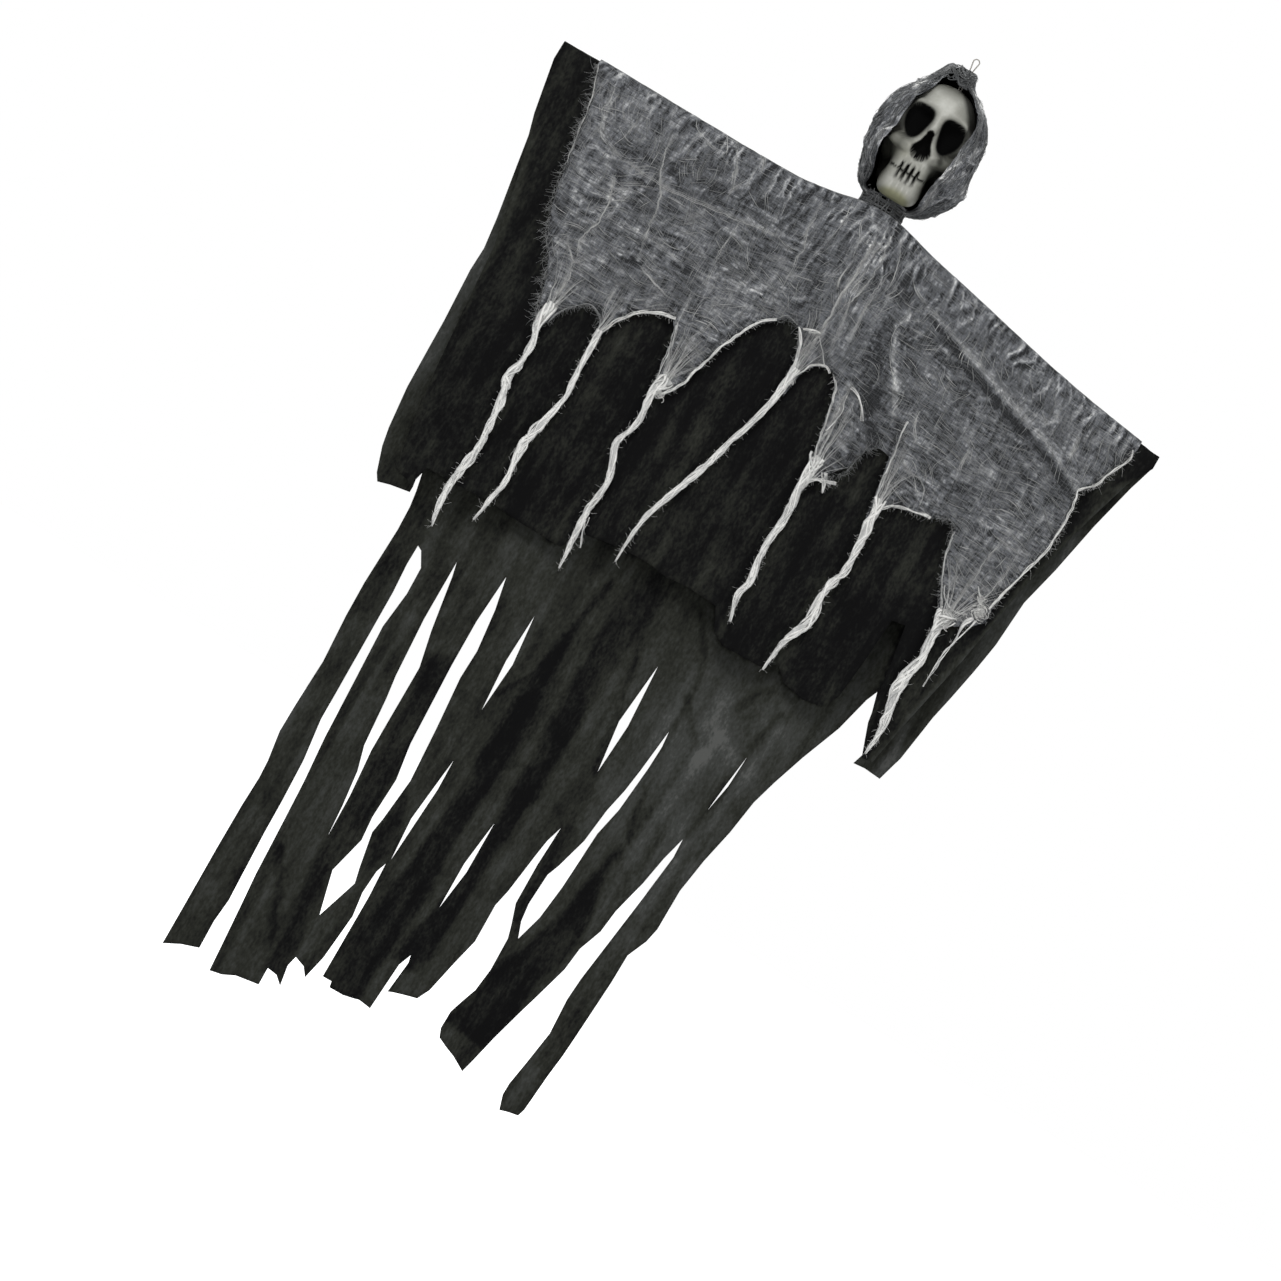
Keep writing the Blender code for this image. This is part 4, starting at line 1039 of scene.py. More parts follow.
def strands(bundle, line, wide, count, seed, tone, turn=30.0, thick=None):
    """Loosely twisted strands along a line of (x, height), spread over its width at each point."""
    rng = np.random.default_rng(seed)
    wide = np.broadcast_to(wide, len(line)).astype(float)
    run = unit(np.gradient(line, axis=0))
    side = np.stack([-run[:, 1], run[:, 0]], axis=-1)
    length = np.concatenate([[0], np.cumsum(np.linalg.norm(np.diff(line, axis=0), axis=1))])
    for k in range(count):
        own_turn = turn * rng.uniform(0.8, 2.2) * rng.choice([-1, 1])
        phase = TAU * k / count + TAU * length / own_turn + 1.6 * noise(length / 22, k, seed)
        reach = rng.uniform(0.35, 1.0) * (1 + 0.3 * noise(length / 9, k + 0.5, seed + 1))
        path = line + side * (np.sin(phase) * reach * wide / 2)[:, None]
        own = thick if thick is not None else np.clip(wide / 4.2, 0.4, 1.7)
        own = own * rng.uniform(0.65, 1.25) * (1 + 0.35 * noise(length / 6, k, seed + 3))
        places = lifted(path, 1.0 + np.cos(phase) * reach * wide * 0.16)
        # strands that come forward on the twist are painted lighter and those behind it darker
        bright = tone + rng.normal(0, 0.08) + 0.14 * noise(length / 5, k, seed + 2) + 0.08 * np.cos(phase)
        first = int(rng.integers(0, 3)) if len(line) > 8 else 0
        bundle.add(places[first:], OUT_FRONT, own[first:], 0.8 * own[first:], bright[first:], sides=4)


def fuzz(bundle, line, wide, count, longest, seed, tone, lean=(0.0, -1.0)):
    """Short loose fibres that leave a line of (x, height)."""
    rng = np.random.default_rng(seed)
    wide = np.broadcast_to(wide, len(line))
    for _ in range(count):
        k = int(rng.integers(0, len(line) - 1))
        start = line[k] + (line[k + 1] - line[k]) * rng.random()
        start = start + np.array([rng.uniform(-0.5, 0.5) * wide[k], 0.0])
        turn = rng.uniform(0, TAU)
        way = np.array([math.cos(turn), math.sin(turn)]) + 0.6 * np.array(lean)
        way /= max(np.linalg.norm(way), 1e-6)
        bend = rng.normal(0, 1.3)
        reach = rng.uniform(0.25, 1.0) * longest
        t = np.linspace(0, 1, 4)
        turned = np.array([-way[1], way[0]])
        path = start + reach * (t[:, None] * way + bend * (t**2)[:, None] * turned * 0.5)
        places = lifted(path, 0.8 + rng.uniform(0, 2.2) * t)
        bright = tone - 0.1 + rng.normal(0, 0.08)
        bundle.add(places, OUT_FRONT, 0.26 - 0.12 * t, 0.22 - 0.1 * t, bright)


def runs_upright(x, height):
    """1 where the small wrinkles stand, under the shoulders and at the centre, and 0 where they lie."""
    drop = wire_height(x) - height
    return clamped(np.exp(-((drop / 44.0) ** 2)) + np.exp(-(((x - 8) / 27) ** 2)))


def creases(bundle, outline, count, seed):
    """Short strands that lie side by side along the small wrinkles."""
    rng = np.random.default_rng(seed)
    low, high = outline.min(axis=0), outline.max(axis=0)
    found = 0
    while found < count:
        x, height = low + (high - low) * rng.random(2)
        if not inside(np.array([[x, height]]), outline)[0]:
            continue
        found += 1
        upright = rng.random() < 0.15 + 0.8 * float(runs_upright(x, height))
        points = [(x, height)]
        for _ in range(int(rng.integers(3, 9))):
            slope = -0.22 if x > 40 else 0.04
            way = (-1.5 if upright else slope) + 0.75 * float(noise(x / 21, height / 17, seed + upright))
            x, height = x + 2.2 * math.cos(way), height + 2.2 * math.sin(way)
            points.append((x, height))
        path = np.array(points)
        path = path[inside(path, outline)]
        if len(path) < 4:
            continue
        fade = np.sin(np.linspace(0.1, 0.9, len(path)) * math.pi)
        lit = float(by_lines(path[:1, 0], path[:1, 1], SHADES)[0])
        tone = 0.4 + 0.9 * lit + rng.normal(0, 0.13)
        tone += 0.18 * float(noise(path[0, 0] / 22, path[0, 1] / 18, seed))
        bundle.add(lifted(path, 0.3), OUT_FRONT, (0.12 + 0.4 * rng.random()) * fade + 0.1, 0.3, tone)


def gathers(bundle):
    """Strands along the lines that threads bunch along."""
    for k, (line, _, _, count) in enumerate(GATHERS):
        path = through(line, 2.5)
        path[:, 0] += 1.3 * noise(path[:, 1] / 7, k, 91) + 0.6 * noise(path[:, 1] / 2.5, k, 92)
        path[:, 1] += 0.9 * noise(path[:, 0] / 6, k, 93)
        for n in range(3 * count):
            rng = np.random.default_rng(1000 + 10 * k + n)
            a, b = sorted(rng.integers(0, len(path), 2))
            if b - a < 4:
                a, b = 0, len(path)
            own = path[a:b] + rng.normal(0, 0.7, 2)
            fade = np.sin(np.linspace(0.08, 0.92, b - a) * math.pi)
            tone = 0.44 + 0.2 * fade + rng.normal(0, 0.07)
            bundle.add(lifted(own, 0.4), OUT_FRONT, 0.12 + 0.42 * fade, 0.35, tone)


def cape_sheet(name, outline, cell, seed):
    """The close gauze itself, with its small wrinkles as relief, darker towards its torn edge."""
    flat, faces = cut([tuple(p) for p in outline], [], cell, seed)
    x, along = flat[:, 0], flat[:, 1]
    height = height_at(x, along)
    points = cape_place(x, along)
    points[:, 1] += np.where(along > 0, 1.0, -1.0) * (1.4 - WRINKLE_RELIEF * wrinkles(x, height))
    off, _, _ = to_line(x, along, [tuple(p) for p in outline] + [tuple(outline[0])])
    edge = clamped(1 - off / 7.0) * (np.abs(along) > CAPE_FOLD * math.pi / 2 + 2)
    tone = cape_tone(x, along) - 0.03 + 0.1 * noise(x / 3.6, along / 3.1, 63) - 0.2 * edge
    piece = mesh_piece(name, points, faces, WOVEN, {"tone": tone, "upright": runs_upright(x, height)})
    thickened(piece, GAUZE_THICK)
    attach(piece, "root")
    return piece


# Rims of the arches, and other strands of the torn hem: points, width, strands and brightness
RIMS = [
    ([(-182, -345), (-178, -328), (-172, -320), (-160, -312), (-148, -318), (-145, -332)], 1.6, 2, 0.45),
    ([(-144, -345), (-143, -328), (-137, -312), (-131, -303), (-124, -296), (-112, -290), (-98, -287)],
     2.6, 6, 0.86),
    ([(-98, -287), (-93, -297), (-90, -312), (-86, -335)], 2.2, 3, 0.62),
    ([(-78, -345), (-68, -328), (-62, -306), (-55, -285), (-47, -265), (-40, -255),
      (-31, -246)], 2.4, 6, 0.84),
    ([(-31, -246), (-24, -241), (-14, -242)], 1.6, 2, 0.4),
    ([(-12, -243), (-6, -252), (-1, -266), (1, -285)], 2.6, 6, 0.88),
    ([(-9, -243), (-3, -241), (5, -239)], 1.8, 4, 0.8),
    ([(-10, -246), (-4, -258), (3, -276)], 1.2, 2, 0.7),
    ([(5, -240), (1, -256), (3, -278)], 1.2, 2, 0.7),
    ([(5, -241), (12, -250), (20, -259)], 1.2, 2, 0.6),
    ([(2, -285), (8, -270), (14, -262), (22, -259), (27, -262)], 2.2, 4, 0.78),
    ([(30, -261), (36, -268), (41, -285), (46, -308), (52, -335)], 2.2, 4, 0.72),
    ([(44, -262), (54, -265), (62, -271), (68, -281)], 2.2, 4, 0.7),
    ([(46, -264), (50, -285), (47, -302)], 1.6, 2, 0.66),
    ([(54, -345), (61, -338), (68, -335), (75, -334)], 2.4, 6, 0.8),
    ([(76, -325), (80, -308), (83, -292)], 1.4, 1, 0.4),
    ([(99, -262), (101, -285), (105, -308), (110, -332)], 2.0, 4, 0.66),
    ([(116, -332), (124, -324), (136, -320), (152, -318)], 2.4, 6, 0.84),
    ([(114, -318), (120, -300), (127, -295), (137, -302), (140, -314)], 1.4, 2, 0.5),
    ([(152, -318), (165, -312), (172, -313)], 1.4, 1, 0.42),
    ([(174, -318), (177, -335), (184, -353), (192, -368), (200, -384)], 1.8, 3, 0.66),
    ([(186, -352), (194, -366), (206, -371), (216, -368)], 1.8, 3, 0.72),
    ([(212, -345), (219, -353), (225, -362)], 1.6, 3, 0.74),
    ([(262, -190), (262, -200), (256, -214), (249, -230), (239, -241)], 2.2, 5, 0.86),
    ([(239, -241), (243, -250), (244, -264), (244, -288), (240, -306), (235, -324), (231, -345), (229, -356)],
     1.9, 4, 0.84),
    ([(-254, -146), (-249, -158), (-244, -172), (-241, -188), (-238, -206), (-234, -226)], 1.3, 2, 0.56),
]
# Where gauze runs together into a tail: its foot, the two ends of the top, and the number of strands
FUNNELS = [
    ((-187, -340), (-207, -292), (-172, -305), 14), ((-145, -332), (-156, -282), (-138, -300), 8),
    ((-82, -345), (-97, -286), (-62, -296), 18), ((2, -290), (-8, -236), (14, -240), 10),
    ((55, -345), (44, -268), (74, -316), 16), ((112, -340), (101, -274), (132, -314), 12),
    ((203, -386), (182, -338), (232, -340), 18),
]
# Ragged edges: points, number of loose fibres, longest, brightness and the way that they lean
RAGGED = [
    (LEFT_TEAR, 420, 9.0, 0.5, (-1.2, -0.6)),
    ([(-178, -328), (-172, -322), (-160, -312), (-148, -318)], 60, 6.0, 0.42, (0.0, -1.2)),
    ([(-33, -250), (-20, -240), (-10, -245)], 50, 7.0, 0.3, (0.0, -1.2)),
    ([(62, -336), (76, -322), (80, -302), (88, -292)], 90, 7.0, 0.42, (0.6, -0.8)),
    ([(124, -323), (142, -319), (168, -312), (176, -330)], 80, 7.0, 0.45, (0.0, -1.2)),
    ([(176, -332), (184, -353), (196, -380)], 50, 6.0, 0.5, (-0.8, -0.6)),
    (RIGHT_TEAR[3:], 110, 6.0, 0.6, (1.0, -0.4)),
]
# Knots of gauze: x, height, size and number of strands
TUFTS = [
    (223, -362, 7.5, 90), (219, -352, 5.0, 30), (65, -337, 3.2, 22), (203, -380, 8.0, 36), (-79, -343, 6.0, 26),
    (3, -284, 4.0, 16),
]


def funnel(bundle, foot, left, right, count, seed):
    """Fine strands that run together from a torn edge into a tail."""
    rng = np.random.default_rng(seed)
    for _ in range(count):
        share = rng.random()
        top = np.array(left) + (np.array(right) - left) * share + rng.normal(0, 3, 2)
        end = np.array(foot) + rng.normal(0, 1.2, 2)
        middle = top * 0.5 + end * 0.5 + (np.array([foot[0], top[1]]) - end) * 0.12
        path = through([top, middle, end], 4.0)
        path[:, 0] += 0.8 * noise(path[:, 1] / 6, seed, int(seed + 10 * share))
        t = np.linspace(0, 1, len(path))
        tone = 0.42 + 0.36 * t + rng.normal(0, 0.06)
        bundle.add(lifted(path, 0.6 + 0.9 * t), OUT_FRONT, 0.35 + 0.5 * t, 0.4 + 0.3 * t, tone)


def tuft(bundle, x, height, size, count, seed):
    """A small tangle of gauze: curved strands crossing every way round one place."""
    rng = np.random.default_rng(seed)
    for _ in range(count):
        turn = rng.uniform(0, TAU) + np.linspace(0, rng.uniform(1.0, 2.6), 6)
        reach = size * rng.uniform(0.2, 0.75)
        middle = np.array([x, height]) + rng.normal(0, 0.3 * size, 2)
        path = middle + reach * np.stack([np.cos(turn), 0.8 * np.sin(turn)], axis=-1)
        lift = rng.uniform(0.6, 0.45 * size)
        wide = rng.uniform(0.35, 1.0)
        bundle.add(lifted(path, lift), OUT_FRONT, wide, 0.6, 0.8 + rng.normal(0, 0.12))


def tails():
    """Torn edges rolled into cords, twisted tails, knots and loose fibres."""
    bundle = Bundle()
    for k, tail in enumerate(TAILS):
        line = through(tail, 3.2) * (1, 1, 0.86)
        way, wide = line[:, :2], line[:, 2]
        core = way + np.stack([0.5 * noise(line[:, 1] / 9, k, 231), np.zeros(len(line))], axis=-1)
        bundle.add(lifted(core, 0.6), OUT_FRONT, 0.62 * wide, 2.0, 0.66, sides=6)
        strands(bundle, way, wide, TAIL_STRANDS, 200 + k, 0.84, turn=44)
        fuzz(bundle, way, wide, TAIL_FIBRES, 4.5, 220 + k, 0.84)
    for k, tail in enumerate(THIN_TAILS):
        line = through(tail, 2.5)
        strands(bundle, line[:, :2], line[:, 2], 4, 240 + k, 0.8)
        fuzz(bundle, line[:, :2], line[:, 2], 20, 4, 250 + k, 0.75)
    for k, (points, wide, count, tone) in enumerate(RIMS):
        line = through(points, 2.6)
        line[:, 0] += 0.7 * noise(line[:, 1] / 5, k, 233)
        line[:, 1] += 0.7 * noise(line[:, 0] / 5, k, 234)
        strands(bundle, line, wide, count, 260 + k, tone, thick=0.26 + 0.2 * wide)
        fuzz(bundle, line, wide, 4 * len(line), 4.0, 290 + k, tone - 0.08)
    for k, (foot, left, right, count) in enumerate(FUNNELS):
        funnel(bundle, foot, left, right, count, 320 + k)
    for k, (points, count, longest, tone, lean) in enumerate(RAGGED):
        fuzz(bundle, through(points, 3.0), 2.0, count, longest, 330 + k, tone, lean)
    for k, (x, height, size, count) in enumerate(TUFTS):
        tuft(bundle, x, height, size, count, 304 + k)
    return bundle.gauze("gauze_tails")


def cape():
    """Front and back: woven sheets, with threads that lie loose on them and gather into the front's hem."""
    outline, loose = cape_flat(cape_outline(), 1), Bundle()
    front = cape_sheet("gauze_cape_front", outline, FRONT_CELL, 22)
    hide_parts("gauze_cape")
    net(loose, outline, 71, OUT_FRONT, 0.34)
    creases(loose, np.array(cape_outline()), CREASE_STRANDS, 75)
    gathers(loose)
    threads = loose.gauze("gauze_cape_threads")
    tails()

    outline, loose = cape_flat(CAPE_BACK_HEM, -1), Bundle()
    back = cape_sheet("gauze_cape_back", outline, BACK_CELL, 23)
    net(loose, outline, 73, OUT_BACK, 0.4)
    loose.gauze("gauze_cape_back_threads")


# Hood


def neck_gather(height):
    """0 on the head to 1 where the hood is gathered at the neck."""
    return clamped((GATHER_TOP - height) / GATHER_LENGTH)


def hood_grid(depth, edge_back, rows_apart=HOOD_ROW, columns=HOOD_COLUMNS):
    """The hood's surface as a grid of points, rows from crown to neck and columns round the back, and its
    outward directions. depth(height, share) is how far under the outline it lies."""
    rows = through(HOOD, rows_apart)
    shares = np.linspace(0, 1, columns)
    grid = np.zeros((len(rows), columns, 3))
    heights = np.repeat(rows[:, :1], columns, axis=1)
    for r, (height, left, right, open_left, open_right) in enumerate(rows):
        half, middle = (right - left) / 2, (left + right) / 2
        shut = math.asin(min(max((middle - open_left + edge_back) / half, 0.03), 0.99))
        last = TAU - math.asin(min(max((open_right + edge_back - middle) / half, 0.03), 0.99))
        gather = neck_gather(height)
        turn = shut + (last - shut) * shares
        deep = np.where(np.cos(turn) > 0, HOOD_FRONT, HOOD_BACK)
        deep = deep + (1.0 - deep) * gather
        y = HOOD_Y * (1 - gather) - half * deep * np.cos(turn)
        dip = 5.0 * max(0.0, -height - 128.0) / 4.4
        grid[r] = at(middle - half * np.sin(turn), y, height - dip * np.cos(turn) ** 2)
    outward = unit(np.cross(np.gradient(grid, axis=1), np.gradient(grid, axis=0)))
    deep = depth(heights, np.repeat(shares[None], len(rows), axis=0))
    return grid - outward * deep[:, :, None], outward


def sampled(grid, row, column):
    """The grid's value at a fractional row and column."""
    row = np.clip(row, 0, grid.shape[0] - 1.001)
    column = np.clip(column, 0, grid.shape[1] - 1.001)
    r, c = row.astype(int), column.astype(int)
    fr, fc = (row - r)[..., None], (column - c)[..., None]
    low = grid[r, c] * (1 - fc) + grid[r, c + 1] * fc
    high = grid[r + 1, c] * (1 - fc) + grid[r + 1, c + 1] * fc
    return low * (1 - fr) + high * fr


def grid_cloth(name, grid, finish, values, thick):
    """A thickened cloth from a grid of points."""
    rows, columns = grid.shape[:2]
    faces = [(r * columns + c, (r + 1) * columns + c, (r + 1) * columns + c + 1, r * columns + c + 1)
             for r in range(rows - 1) for c in range(columns - 1)]
    piece = mesh_piece(name, grid.reshape(-1, 3), faces, finish, values)
    thickened(piece, thick)
    return piece


def hood_folds(height, share):
    """Gauze folds that run from the crown and the neck, above the outline: less than nothing is outwards."""
    upright = noise(share * 17, height / 50, 121) + 0.6 * noise(share * 39, height / 26, 122)
    slanting = noise(share * 11 + height / 34, height / 90, 123)
    slanting = slanting + 0.5 * noise(share * 30 - height / 15, height / 40, 124)
    return HOOD_CLOTH / 2 - 0.2 - 1.5 * np.clip(upright, -0.5, 1.2) - 1.1 * clamped(slanting)


def lining_depth(height, _):
    return 3.2 + neck_gather(height) * 1.7


def hood_lining():
    grid, _ = hood_grid(lining_depth, 3.2, columns=64)
    values = {"tone": np.full(grid.shape[0] * grid.shape[1], 0.03)}
    piece = grid_cloth("black_hood_lining", grid, BLACK_CLOTH, values, LINING_THICK)
    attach(piece, "root")
    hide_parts("hood_lining")


def crumple(row, column):
    """Sharp random folds of the hood's gauze, from 0 in a hollow to 1 on a ridge."""
    row2 = row + 2.2 * noise(row / 7, column / 9, 150)
    column2 = column + 2.6 * noise(row / 8, column / 7, 151)
    steep = 1 - np.abs(noise(column2 / 5 + row2 / 13, row2 / 9, 152))
    gentle = 1 - np.abs(noise(column2 / 3.2 - row2 / 9, row2 / 6, 153))
    small = 1 - np.abs(noise(column2 / 1.6, row2 / 2.6, 154))
    folds = 0.42 * steep**5 + 0.42 * gentle**5 + 0.3 * small**4
    return clamped(folds * (0.75 + 0.6 * noise(column / 8, row / 7, 157)))


def hood_sheet():
    """The crumpled woven gauze round the head, painted lighter on the ridges of its crumple and darker in its
    hollows.
    """
    fine, out = hood_grid(hood_folds, 1.2, FINE_ROW, FINE_COLUMNS)
    rows, columns = fine.shape[:2]
    row = np.repeat(np.arange(rows)[:, None] * FINE_ROW / HOOD_ROW, columns, axis=1)
    column = np.repeat(np.arange(columns)[None] * HOOD_COLUMNS / FINE_COLUMNS, rows, axis=0)
    height = crumple(row, column)
    fine = fine + out * (HOOD_RELIEF * (height - HOOD_LEVEL) - 0.5)[:, :, None]
    side = np.minimum(column, HOOD_COLUMNS - column)
    # painted highlight on the crumple's ridges and painted shade in its hollows
    tone = 0.13 + 0.85 * height + 0.26 * noise(column / 8, row / 7, 135)
    tone = tone - 0.06 * clamped(1 - side / 2.5)
    tone = tone - 0.16 * clamped(1 - row / 5) - 0.25 * clamped((row - 56) / 6)
    values = {"tone": tone.ravel(), "upright": 0.7 + 0.3 * noise(column / 9, row / 9, 155).ravel()}
    woven = grid_cloth("gauze_hood", fine, WOVEN, values, GAUZE_THICK)
    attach(woven, "root")
    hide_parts("hood_gauze")
    return woven


def hood_threads(bundle, rng, grid, outward):
    """Threads that lie on the hood's folds: a net, short strands every way, and the torn edges."""
    rows, columns = grid.shape[:2]

    def lay(row, column, wide, tone, lift=0.0, high=0.34):
        row = row + 1.2 * noise(column / 6, row / 5, 132)
        column = column + 1.5 * noise(column / 4, row / 8, 133)
        height = crumple(row, column)
        places, way = sampled(grid, row, column), sampled(outward, row, column)
        places = places + (HOOD_RELIEF * (height - HOOD_LEVEL) + lift)[:, None] * way
        # threads on the crumple's ridges are painted lighter and those in its hollows darker
        bundle.add(places, way, wide, high, tone + 0.5 * height)

    for k in range(HOOD_WARP):
        row = np.arange(rng.choice([0, 0, 1, 2]), rows - 1, 1.4)
        column = np.full(len(row), columns * (k + rng.uniform(0.2, 0.8)) / HOOD_WARP)
        lay(row, column, 0.34, rng.normal(0.04, 0.05))
    for k in range(HOOD_WEFT):
        column = np.arange(0, columns - 1, 1.3)
        row = np.full(len(column), rows * (k + rng.uniform(0.2, 0.8)) / HOOD_WEFT)
        lay(row, column, 0.34, rng.normal(0.04, 0.05))
    for _ in range(HOOD_STRANDS):
        row, column = rng.uniform(2, rows - 3), rng.uniform(0, columns - 1)
        turn = 1.6 * float(noise(row / 12, column / 14, 156)) + rng.normal(0, 0.25)
        reach = rng.uniform(3, 9) * np.linspace(0, 1, 6)
        rows_on = row + reach * math.cos(turn)
        columns_on = column + reach * math.sin(turn) * 0.7
        kept = (rows_on > 0) & (rows_on < rows - 1.2) & (columns_on > 0) & (columns_on < columns - 1.2)
        if kept.sum() > 4:
            wide = 0.12 + rng.uniform(0.15, 0.5) * np.sin(np.linspace(0.1, 0.9, int(kept.sum())) * math.pi)
            lay(rows_on[kept], columns_on[kept], wide, 0.16 + rng.normal(0, 0.1), 0.3)
    for edge, inwards in ((0.0, 1), (columns - 1.01, -1)):
        for k in range(EDGE_THREADS):
            row = np.arange(rng.integers(0, 4), rows - 1, 1.2)
            column = edge + inwards * (0.2 + 0.4 * k + (1.0 + noise(row / 5, k, 137)) * 1.3)
            lay(row, column, 0.6, 0.02 + rng.normal(0, 0.06), 0.5, 0.5)


def crown_tangle(bundle, rng):
    """Loose curled strands in front of the crown, the first of them a knot."""
    for n in range(CROWN_STRANDS):
        knot = n < KNOT_STRANDS
        start = np.array([rng.uniform(-3, 3), -16.6] if knot else [rng.uniform(-13, 5), rng.uniform(-15, -2)])
        sweep = np.linspace(0, rng.uniform(1.6, 3.6), 9)
        size = rng.uniform(0.8, 2.4) if knot else rng.uniform(1.5, 5.0)
        height = np.clip(start[1] + 0.8 * size * np.sin(sweep * 1.1 + rng.uniform(0, TAU)), -18.2, -0.8)
        x = start[0] + size * np.cos(sweep + rng.uniform(0, TAU))
        x = np.clip(x, np.maximum(-8 + 1.4 * height, -19), 4.5 - 0.25 * height)
        front = 3 - 1.1 * np.interp(-height, [0.6, 2, 7, 13, 20], [6.4, 11.4, 14.3, 18.3, 24.5])
        y = front - rng.uniform(-0.5, 1.8) + 0.8 * noise(x / 4, height / 4, 141)
        tone = rng.uniform(-0.1, 0.36) - 0.25 * float(start[1] < -9)
        bundle.add(at(x, y, height), (0.0, -1.0, 0.3), rng.uniform(0.35, 1.1), 0.7, tone, sides=4)


def round_neck(turn, reach, height):
    """Places round the neck, and their outward directions."""
    ring = np.stack([np.cos(turn), np.sin(turn), np.zeros(len(turn))], axis=-1)
    return at(NECK_X + reach * np.cos(turn), reach * np.sin(turn), height), ring


def neck_strands(bundle, rng):
    """Strands wound round the gathered neck, and others that fall through it."""
    for k in range(NECK_TURNS):
        turn = np.linspace(0, rng.uniform(1.2, 4.0), 16) + rng.uniform(0, TAU)
        height = rng.uniform(-133, -120.5) + rng.uniform(-3, 3) * np.linspace(-1, 1, 16)
        height = height + 0.8 * noise(turn * 3, k, 142)
        wider = np.interp(-height, [118, 122, 126, 134], [3.0, 1.8, 1.2, 1.3])
        path, ring = round_neck(turn, NECK_HALF + wider + rng.uniform(0.2, 1.2), height)
        bundle.add(path, ring, rng.uniform(0.5, 1.2), 0.7, rng.uniform(-0.05, 0.16), sides=4)
    for k in range(NECK_FALLS):
        turn = rng.uniform(0, TAU)
        height = np.linspace(rng.uniform(-124, -119), rng.uniform(-139, -130), 9)
        wider = np.interp(-height, [118, 122, 126, 134, 140], [3.2, 2.0, 1.6, 1.8, 3.0])
        wider = wider + 0.4 * noise(height / 3, k, 143)
        path, ring = round_neck(turn + 0.12 * noise(height / 5, k, 144), NECK_HALF + wider + 0.9, height)
        bundle.add(path, ring, rng.uniform(0.3, 0.9), 0.6, rng.uniform(-0.1, 0.26), sides=4)


def hood_gauze():
    """Gauze wrapped round the head and gathered at the crown and neck, with threads over it."""
    woven = hood_sheet()
    bundle, rng = Bundle(), np.random.default_rng(131)
    grid, outward = hood_grid(hood_folds, 1.2)
    hood_threads(bundle, rng, grid, outward)
    crown_tangle(bundle, rng)
    neck_strands(bundle, rng)
    loose = bundle.gauze("gauze_hood_threads")


def neck_tie():
    """A thin cord wound three times round the gathered hood."""
    bundle = Bundle()
    turns = np.linspace(0, TAU * 3, 150)
    height = TIE_HEIGHT + (turns / TAU - 1.5) * 0.9
    path, outward = round_neck(turns, NECK_HALF + 0.4 + TIE_THICK / 2, height)
    bundle.add(path, outward, 0.8, 1.3, 0.3, sides=6)
    piece = bundle.made("neck_cord", BLACK_CORD)
    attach(piece, "root")
    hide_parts("neck_tie")


# Skull


def ellipsoid(p, middle, radii, power=2.0):
    q = np.abs((p - middle) / radii)
    near = (q**power).sum(axis=1) ** (1 / power)
    slope = np.linalg.norm(np.maximum(q, 1e-6) ** (power - 1) / radii, axis=1)
    return (near - 1) * near ** (power - 1) / np.maximum(slope, 1e-9)


def rod(p, start, end, radius):
    run = np.array(end, float) - start
    share = clamped((p - start) @ run / (run @ run))
    return np.linalg.norm(p - start - share[:, None] * run, axis=1) - radius


def blend(a, b, soft):
    share = clamped(0.5 + 0.5 * (b - a) / soft)
    return b + (a - b) * share - soft * share * (1 - share)


def carve(a, b, soft):
    return -blend(-a, b, soft)


def sockets(p):
    """The distance from the two eye sockets, leaning so that their feet lie apart."""
    found = []
    for side in (-1, 1):
        x, y, z = (p - (side * SOCKET_APART / 2, -36, SOCKET_HEIGHT)).T
        across = side * x + SOCKET_LEAN * z
        place = np.stack([across, y, z - 0.1 * across], axis=-1)
        found.append(ellipsoid(place, 0.0, SOCKET, 3.4))
    return np.minimum(*found)


def nose(p):
    """The distance from the nose hole, a drop with its point up."""
    found = ellipsoid(p, (0, -38, -74.5), (4.4, 12, 11.5))
    for side in (-1, 1):
        found = blend(found, ellipsoid(p, (side * 2.9, -38, -79.5), (4.6, 12, 6.9)), 3)
    return found


def tooth_gaps(p):
    """The distance from the gaps between the teeth and from the line between the two rows."""
    found = np.maximum(np.abs(p[:, 2] - MOUTH_HEIGHT - 0.008 * p[:, 0] ** 2) - 0.5, np.abs(p[:, 0]) - 15.5)
    for k in (-1.5, -0.5, 0.5, 1.5):
        found = np.minimum(found, ellipsoid(p, (k * TOOTH_WIDE, -38, MOUTH_HEIGHT), (0.9, 8.0, 7.2), 2.6))
    return np.maximum(found, p[:, 1] + 27)


# Cranium, brow, face, jaw and chin: middle, radii, power and how softly each joins the ones before
MASSES = [
    ((0, -8.5, SKULL_TOP - CRANIUM[2] + 6), (26.5, 26.5, 26.5), 2.0, 9), ((0, -12, -81), (22, 21.5, 20),
    2.0, 7),
    ((0, -15.5, -99), (17, 19.5, 14), 3, 4), ((0, -19.5, CHIN_HEIGHT), (JAW_HALF, 15.5, 9.2), 2.7, 4),
]
# Rods of each side, outwards from the middle: start, end, radius and softness
SIDE_RODS = [
    ((4.5, -34, -47), (19, -27.5, -46.5), 3.0, 4), ((19, -27.5, -46.5), (25, -18, -60), 2.6, 4),
    ((11, -32, -80.5), (22, -25.5, -79), 4.2, 4), ((22, -25.5, -79), (CHEEK, -4, -72), 4.4, 4),
    ((JAW_HALF - 7, -20, CHIN_HEIGHT + 1.5), (JAW_HALF - 2, 2, -104), 5.0, 6),
    ((JAW_HALF - 2, 2, -104), (25, 8, -77), 6.0, 5),
]
# Hollows of each side: temple, cheek and beside the nose
SIDE_HOLLOWS = [
    ((40, -16, -57), (9, 18, 15), 6), ((26, -20, -94), (8.5, 19, 9), 5), ((14.5, -37, -84),
    (3.4, 3.6, 3.0), 3),
]


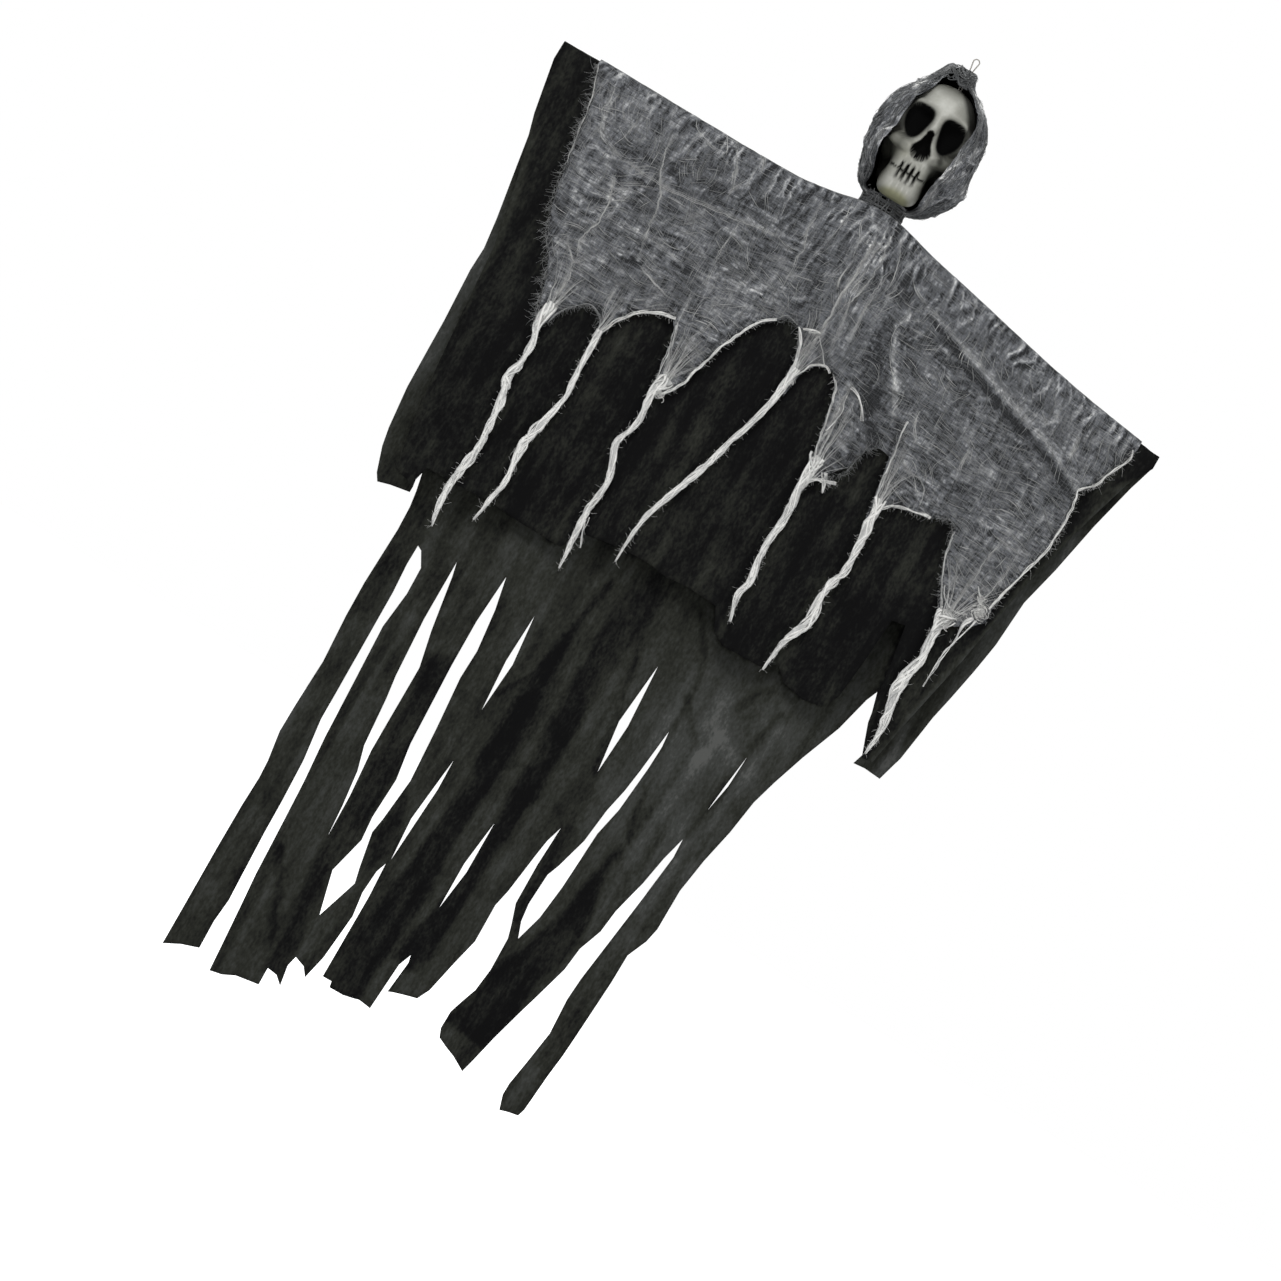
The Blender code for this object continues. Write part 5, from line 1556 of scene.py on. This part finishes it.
def skull_form(p):
    """The distance of points p from the skull's surface, in millimetres from its own middle plane."""
    form = ellipsoid(p, (0, 5, SKULL_TOP - CRANIUM[2]), CRANIUM)
    for middle, radii, power, soft in MASSES:
        form = blend(form, ellipsoid(p, middle, radii, power), soft)
    for side in np.array([(-1, 1, 1), (1, 1, 1)]):
        for start, end, radius, soft in SIDE_RODS:
            form = blend(form, rod(p, side * start, side * end, radius), soft)
    form = blend(form, rod(p, (0, -33.5, -51), (0, -36.5, -64), 3.4), 3)
    for side in np.array([(-1, 1, 1), (1, 1, 1)]):
        for middle, radii, soft in SIDE_HOLLOWS:
            form = carve(form, ellipsoid(p, side * middle, radii), soft)
    form = carve(form, ellipsoid(p, (0, -38, -109), (14, 3.5, 1.6)), 3)
    for row, back in ((1, 0.0), (-1, 0.8)):
        for x in np.arange(-2, 3) * TOOTH_WIDE:
            tooth = (x, -34.4 + 0.045 * x * x + back, MOUTH_HEIGHT + row * 3.8)
            form = blend(form, ellipsoid(p, tooth, (2.3, 2.6, 4.0), 2.6), 1.2)
    form = carve(form, sockets(p), 2)
    form = carve(form, nose(p), 1)
    form = blend(form, rod(p, (-0.4, -31.5, -84.5), (-0.4, -34.0, -87.0), 1.2), 1)
    return carve(form, tooth_gaps(p), 0.5)


def paint(p):
    """Where the skull is painted: ink in its holes and darker round them; painted shade on the jaw's sides,
    under the chin and below the cheeks; the hood's painted shadow on the forehead; olive under the chin.
    """
    x, y, z = p.T
    front, low, forehead = clamped((-15 - y) / 8), clamped((-z - 86) / 6), clamped((z + 48) / 8)
    eyes, hole, gaps = sockets(p), nose(p), tooth_gaps(p)
    # where the hood's painted shadow on the right of the forehead begins, at each height
    hood_shadow_edge = np.interp(z, [-50, -42, -36, -28, -20], [26, 20, 16, 9.5, 3])
    layers = {
        "ink_and_shade": [
            clamped(1.7 - eyes / 1.7), clamped(1.5 - hole / 0.9), clamped(1.4 - gaps / 0.45) * front,
            # painted shade on the jaw's sides and back, and under the chin
            0.9 * low * clamped((np.abs(x) - 16.5) / 3.5), 0.9 * low * clamped((y + 16) / 10),
            np.clip((-120.5 - z) / 2.0, 0, 0.8),
            # painted shade in the hollow right of the nose, and the hood's painted shadow on the right of the
            # forehead
            0.6 * clamped(1.6 - np.hypot(x - 17.1, z + 79.0) / 2.4) * front,
            0.85 * clamped((x - hood_shadow_edge) / 5 + 0.3) * clamped((z + 50) / 6),
        ],
        "olive": [
            0.9 * clamped((-113 - z - 0.02 * x * x) / 4),
            0.3 * clamped(1 - np.abs(z + 86) / 9) * clamped((-x - 2) / 8),
        ],
        "wash_and_shade": [
            # painted shade: the hood's shadow over the right, top and left of the forehead
            0.75 * forehead * clamped((x - 2 + 0.5 * (z + 30)) / 14),
            0.85 * forehead * clamped((z + 34) / 12), 0.6 * forehead * clamped((-x - 11) / 9),
            # darker round the sockets, the nose hole and the teeth
            0.55 * clamped(1.8 - eyes / 3.4),
            0.3 * clamped(1.8 - hole / 2.6), 0.3 * clamped(2.0 - gaps / 2.0) * front,
            # painted shade below the cheekbones
            0.85 * clamped((np.abs(x) - 7) / 10) * clamped((-z - 64) / 7),
        ],
    }
    return {name: np.maximum.reduce(found) for name, found in layers.items()}


def skull():
    """The moulded skull, drawn in from a ball whose points crowd towards the face."""
    middle = np.array([0.0, 0.0, HEAD_MIDDLE])
    ball = bmesh.new()
    bmesh.ops.create_icosphere(ball, subdivisions=6, radius=1.0)
    rays = np.array([v.co[:] for v in ball.verts]) - (0.0, 0.62, 0.0)
    faces = [[v.index for v in face.verts] for face in ball.faces]
    ball.free()
    rays = unit(unit(rays) * (0.8, 1.0, 1.1))
    reach = np.full(len(rays), RAY_START)
    moving = np.arange(len(rays))
    for _ in range(RAY_STEPS):
        gap = skull_form(middle + rays[moving] * reach[moving, None])
        reach[moving] -= np.clip(0.7 * gap, -1.5, 5.0)
        moving = moving[np.abs(gap) > RAY_CLOSE]
        if not len(moving):
            break
    p = middle + rays * reach[:, None]
    piece = mesh_piece("moulded_skull", at(p[:, 0] + SKULL_X, p[:, 1], p[:, 2]), faces, BONE, paint(p))
    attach(piece, "root")
    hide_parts("skull")


def shoulder_wire():
    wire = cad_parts["shoulder_wire"]
    wire.data.materials.clear()
    wire.data.materials.append(STEEL)


camera()
hanging_string()
surroundings()
lights()
skull()
shoulder_wire()
robe()
cape()
hood_lining()
hood_gauze()
neck_tie()

bpy.context.scene.view_settings.view_transform = "Standard"
